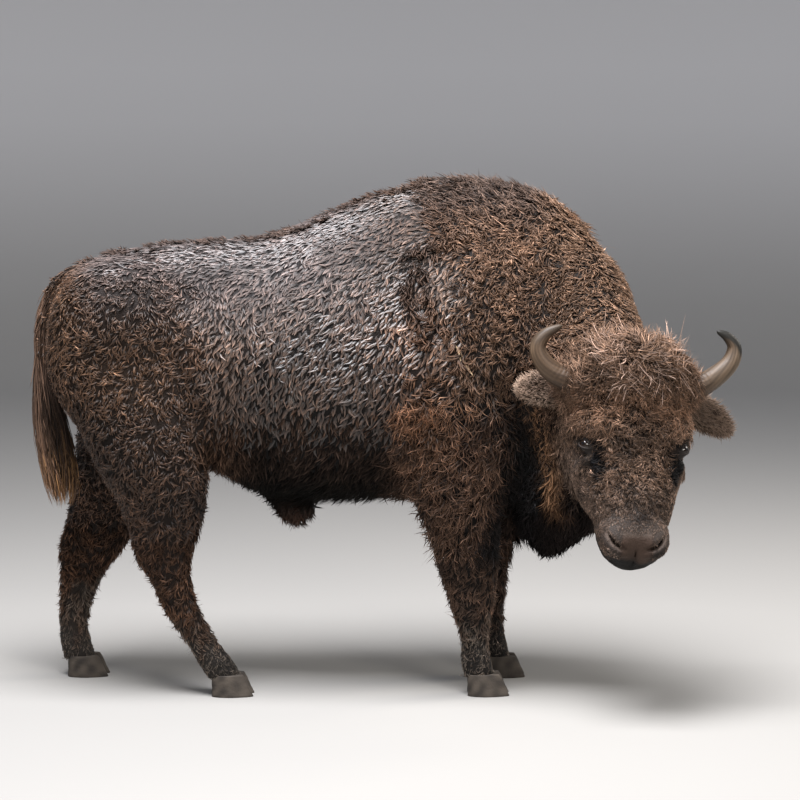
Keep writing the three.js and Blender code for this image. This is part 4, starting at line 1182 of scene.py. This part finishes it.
def make_ear(name):
    side, leaf = SIDES[name], (SIDES[name], *EARS[name])
    c, a, b, f = ball(28, 40)
    tint = np.where(c[:, None] > 0, [0.045, 0.032, 0.026], [0.07, 0.048, 0.036])
    hide = make_mesh(f"ear_{name}_hide", ear_place(*leaf, a, b, c), f[:, ::-1] if side > 0 else f, tint)
    place(hide, MATERIALS["hide"], "head_coat", f"ear_{name}")
    # hair on the ear: outward, longest at the rim and inside
    c = rng.uniform(-1, 1, HAIRS)
    turn = rng.uniform(0, 2 * math.pi, HAIRS)
    r = np.sqrt(1 - c * c)
    a, b = r * np.cos(turn), r * np.sin(turn)
    e = 0.02
    p0 = ear_place(*leaf, a, b, c)
    pa, pb, pc = (ear_place(*leaf, *moved) - p0 for moved in ((a + e, b, c), (a, b + e, c), (a, b, c + e)))
    # the normal of the ball's image, with one sign for the whole ear, taken where it faces back
    inv = np.stack([np.cross(pb, pc), np.cross(pc, pa), np.cross(pa, pb)], -1)
    nrm = unit((inv * np.stack([a, b, c], -1)[:, None, :]).sum(-1))
    facing = from_head(rgb(0.1, 0.1 * side, 1.0)) - from_head(np.zeros(3))
    nrm = -nrm if nrm[c.argmin()] @ facing > 0 else nrm
    d = turned_from(nrm, unit(unit(pa) + unit(pb) * (b * 0.9)[:, None]))
    rim = r**4
    inside = (c > 0) * (1 - rim)
    length = (20 + 12 * rim + 22 * inside) * rng.uniform(0.7, 1.2, HAIRS)
    base = paint(np.tile([0.330, 0.240, 0.180], (HAIRS, 1)), ((0.240, 0.170, 0.130), inside * 0.6))
    # painted shade: the far (left) ear's hair a fifth darker
    base = base * (0.8 if side > 0 else 1.0) * np.exp(rng.normal(0, 0.25, HAIRS))[:, None]
    lift = 0.3 + 0.25 * rng.random(HAIRS) + 0.3 * inside
    curls = rng.normal(0, 0.3, HAIRS)
    coat_parts.append(("ears", locks(p0, nrm, d, length, 1.5, lift, curls, 0.1, base, 0.12, 1, bleach=0.5)))


for name in EARS:
    make_ear(name)
dress()


# ---------------------------------------------------------------- horns
HORN_RINGS, HORN_SIDES = 120, 48


def smooth_line(points, count):
    """Even steps along a Catmull-Rom curve through the points, and its directions there."""
    pts = np.asarray(points, float)
    ext = np.concatenate([[2 * pts[0] - pts[1]], pts, [2 * pts[-1] - pts[-2]]])
    u = np.linspace(0, 1, 40, endpoint=False)[:, None]
    dense = []
    for i in range(1, len(ext) - 2):
        a, b, c, d = ext[i - 1:i + 3]
        square, cube = 2 * a - 5 * b + 4 * c - d, 3 * b - a - 3 * c + d
        dense.append(0.5 * (2 * b + (c - a) * u + square * u**2 + cube * u**3))
    dense = np.concatenate(dense + [pts[-1:]])
    run = np.concatenate([[0], np.cumsum(np.linalg.norm(np.diff(dense, axis=0), axis=1))])
    at = np.linspace(0, 1, count) * run[-1]
    line = np.stack([np.interp(at, run, dense[:, k]) for k in range(3)], 1)
    return line, unit(np.gradient(line, axis=0))


def tube(points, radius, rings, sides):
    """A closed tube: its vertices, the line's nearest points, faces, shares of the line and angles."""
    line, tan = smooth_line(points, rings)
    nrm = [unit(np.cross(tan[0], [0.0, 0, 1.0]))]
    for t in tan[1:]:
        nrm.append(unit(nrm[-1] - t * (nrm[-1] @ t)))
    nrm = np.array(nrm)
    s, ang = np.linspace(0, 1, rings), circle(sides)
    rad = radius(s[:, None], ang[None])
    v = line[:, None] + nrm[:, None] * (np.cos(ang) * rad)[..., None]
    v = v + np.cross(tan, nrm)[:, None] * (np.sin(ang) * rad)[..., None]
    v = np.concatenate([v.reshape(-1, 3), line[:1], line[-1:] + tan[-1:] * rad[-1, 0] * 0.8])
    centre = np.concatenate([np.repeat(line, sides, 0), line[:1], line[-1:]])
    share, angle = np.append(np.repeat(s, sides), [0, 1]), np.append(np.tile(ang, rings), [0, 0])
    return v, centre, list(capped(rings, sides)), share, angle


def horn_radius(s, a):
    """Thick and ringed at the base, smooth at the tip, with a fine grain along it."""
    r = 44 * (1 - s) ** 0.6 * (1 + 0.15 * s) + 4 * s
    rings = 0.55 * np.sin(s * 150 + 0.6 * np.sin(a * 2)) * step(0.55, 0.3, s)
    rings = rings + 0.9 * np.sin(s * 46 + np.sin(a)) * step(0.5, 0.25, s)
    grain = 0.45 * np.sin(a * 17 + 3 * np.sin(s * 9)) + 0.35 * np.sin(a * 31 + 5 * s)
    return np.maximum(r * 0.985 - 0.5 + rings + grain * step(1.0, 0.7, s), 1.2)


# How much of the tip's black shows, and the tint of the whole horn.
HORN_TINT = {"right": (0.5, rgb(0.72, 0.58, 0.46)), "left": (1.0, rgb(0.95, 0.84, 0.72))}
for name, path in HORNS.items():
    side, (black, horn_tint) = SIDES[name], HORN_TINT[name]
    v, centre, faces, s, a = tube(from_head(rgb(*path) * [1, side, 1]), horn_radius, HORN_RINGS, HORN_SIDES)
    streak = 0.5 + 0.5 * np.sin(a * 13 + 4 * np.sin(s * 7)) * np.sin(a * 29 + 11 * s)
    # the outer side of the bend is paler low down and black further up
    outer = unit(v - centre + 1e-6) @ unit(from_head(rgb(-0.2, side, 0.3)) - HEAD_AT)
    c = paint(
        np.tile([0.075, 0.052, 0.038], (len(s), 1)),
        ((0.125, 0.098, 0.074), step(0.15, 0.5, s) * 0.8),
        ((0.230, 0.190, 0.148), step(0.1, 0.9, outer) * step(0.3, 0.5, s) * 0.7),
    )
    tip = s + 0.03 * np.sin(a * 3) + 0.22 * np.maximum(outer, 0) * step(0.5, 0.8, s)
    c = paint(
        c * (0.45 + 0.75 * streak)[:, None],
        ((0.034, 0.023, 0.017), step(0.32, 0.16, s) * 0.8),
        ((0.018, 0.019, 0.018), step(0.80, 0.93, tip) * black),
    )
    horn = make_mesh(f"horn_{name}_keratin", v, faces, c * horn_tint)
    place(horn, MATERIALS["horn"], "horn", f"horn_{name}")

# ---------------------------------------------------------------- eyes
for name, side in SIDES.items():
    o, l, u, f = ball(48, 64)
    bulge = 1 + 0.05 * step(0.75, 0.95, o)
    q = EYE + EYE_R * bulge[:, None] * (o[:, None] * EYE_OUT + l[:, None] * EYE_LONG + u[:, None] * EYE_UP)
    q[:, 1] *= side
    v = from_head(q)
    # outward faces, judged by one away from the poles
    a0, a1, a2 = v[f[len(f) // 2, :3]]
    if np.cross(a1 - a0, a2 - a0) @ (a0 - from_head(EYE * [1, side, 1])) < 0:
        f = f[:, ::-1]
    pupil = step(1.0, 0.85, np.hypot(l / 0.42, u / 0.17)) * (o > 0)
    c = paint(
        np.tile([0.022, 0.015, 0.012], (len(o), 1)),
        ((0.014, 0.007, 0.004), step(0.66, 0.74, o)),
        ((0.002, 0.002, 0.003), pupil),
    )
    place(make_mesh(f"eye_{name}_ball", v, f, c), MATERIALS["eye"], "eye", f"eye_{name}")

# ---------------------------------------------------------------- hooves
HOOF_HEIGHT = 72
# How far a claw stands from the foot's middle, its half width, and its reach in front and behind.
CLAW_OFF, CLAW_HALF, TOE, HEEL = 29.5, 28, 76.0, 62.0
HOOF_LEVELS = [0, 2, 8, 16, 26, 38, 50, 60, 68, 71.4]
HOOF_SIDES = 48


def claw(foot_x, foot_y, side):
    """Vertices of one claw, to the inner or outer side of a foot."""
    ang = circle(HOOF_SIDES)
    toe = np.where(np.cos(ang) > 0, TOE, HEEL)
    rings = []
    for z in HOOF_LEVELS:
        size = (1.0 - 0.24 * (z / 71.6) ** 0.9) * (1 - 0.03 * (z == 0) - 0.06 * (z > 66) * (z - 66) / 6)
        groove = 0.5 * math.sin(z * 0.9)
        lean = (HOOF_HEIGHT - z) / HOOF_HEIGHT * 14
        px = foot_x + 8 + np.cos(ang) * (toe * size + groove) + lean
        half = (CLAW_HALF * size + groove * 0.5) * (1 - 0.22 * np.maximum(np.cos(ang), 0))
        py = foot_y + side * CLAW_OFF + np.sin(ang) * half
        rings.append(np.stack([px, py, np.full(HOOF_SIDES, z)], 1))
    return np.concatenate(rings + [rings[0].mean(0)[None], rings[-1].mean(0)[None]])


for foot, stations in (("fore_claw_right", FORE_R), ("fore_claw_left", FORE_L),
                       ("hind_claw_right", HIND_R), ("hind_claw_left", HIND_L)):
    _, x, y = stations[0, :3]
    outer = 1 if y > 0 else -1
    for which, side in (("inner", -outer), ("outer", outer)):
        v = claw(x, y, side)
        worn = np.clip(0.5 + 0.35 * waves(v, 22, 31), 0, 1) * 0.8
        c = paint(np.tile([0.030, 0.025, 0.021], (len(v), 1)), ((0.105, 0.086, 0.068), worn))
        obj = make_mesh(f"{foot}_{which}_horn", v, list(capped(len(HOOF_LEVELS), HOOF_SIDES)), c)
        place(obj, MATERIALS["hoof"], "hoof", f"{foot}_{which}")

# ---------------------------------------------------------------- floor, lights, camera
# A round floor that rises into a paler wall far behind every view; radius and height in millimetres.
WALL_FOOT, WALL_BEND, WALL_TOP = 10500, 4000, 7000
TURNS = 72
bend = np.linspace(0.1, math.pi / 2, 12)
rise = np.stack([WALL_FOOT + WALL_BEND * np.sin(bend), WALL_BEND - WALL_BEND * np.cos(bend)], 1)
flat = [(2000, 0), (6000, 0), (9500, 0), (WALL_FOOT, 0)]
out, up = np.concatenate([flat, rise, [(WALL_FOOT + WALL_BEND, WALL_TOP)]]).T
east, north = np.outer(out, np.cos(circle(TURNS))), np.outer(out, np.sin(circle(TURNS)))
corners = np.stack([east, north, np.repeat(up[:, None], TURNS, 1)], -1).reshape(-1, 3)
corners = np.concatenate([corners, np.zeros((1, 3))])
idx, nxt, bowl = ring_grid(len(out), TURNS)
pale = paint(
    np.tile([0.34, 0.33, 0.31], (len(corners), 1)), ((0.72, 0.71, 0.70), step(100, 2500, corners[:, 2])),
)
floor = make_mesh("floor", corners, [bowl[:, [0, 3, 2, 1]], fan(idx.size, idx[0], nxt[0])], pale)
floor.data.materials.append(MATERIALS["floor"])
floor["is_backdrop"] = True

world = bpy.data.worlds.new("sky")
bpy.context.scene.world = world
world.use_nodes = True
sky = world.node_tree.nodes["Background"]
sky.inputs["Color"].default_value = (0.84, 0.88, 1.0, 1)
sky.inputs["Strength"].default_value = 0.30


def area(name, at, aim, size, power, colour):
    """A square light, in metres and watts."""
    data = bpy.data.lights.new(name, "AREA")
    data.energy = power
    data.size = size
    data.color = colour
    obj = bpy.data.objects.new(name, data)
    obj.location = at
    obj.rotation_euler = (Vector(aim) - Vector(at)).to_track_quat("-Z", "Y").to_euler()
    bpy.context.scene.collection.objects.link(obj)


area("sky_key", (-0.4, -1.6, 6.0), (0, 0, 0.9), 3.2, 1000, (0.96, 0.96, 1.0))
area("front", (3.2, -6.0, 3.6), (0.5, 0, 0.9), 1.6, 130, (1.0, 0.95, 0.88))
area("rim", (5.0, 2.0, 3.5), (0.5, 0, 1.0), 2.0, 120, (1.0, 0.93, 0.84))

# The photograph's width, its focal length and how far the camera looks down, all in its pixels.
PHOTO_WIDTH, FOCAL, LOOKS_DOWN = 800, 2576, 260
SENSOR = 36
CAMERA_AT = rgb(0.0, -8500.0, 1816.0)
cam_data = bpy.data.cameras.new("camera")
cam_data.lens = FOCAL * SENSOR / PHOTO_WIDTH
cam_data.sensor_width = SENSOR
cam_data.clip_end = 200
cam = bpy.data.objects.new("camera", cam_data)
cam.location = metres(CAMERA_AT)
cam.rotation_euler = (math.radians(90) - math.atan(LOOKS_DOWN / FOCAL), 0, 0)
bpy.context.scene.collection.objects.link(cam)
bpy.context.scene.camera = cam
bpy.context.scene.view_settings.view_transform = "Standard"
bpy.context.scene.view_settings.look = "None"

looks_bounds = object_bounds()
as_lists = lambda b: [[float(c) for c in corner] for corner in b]
{"cad": as_lists(cad_bounds), "looks": as_lists(looks_bounds)}
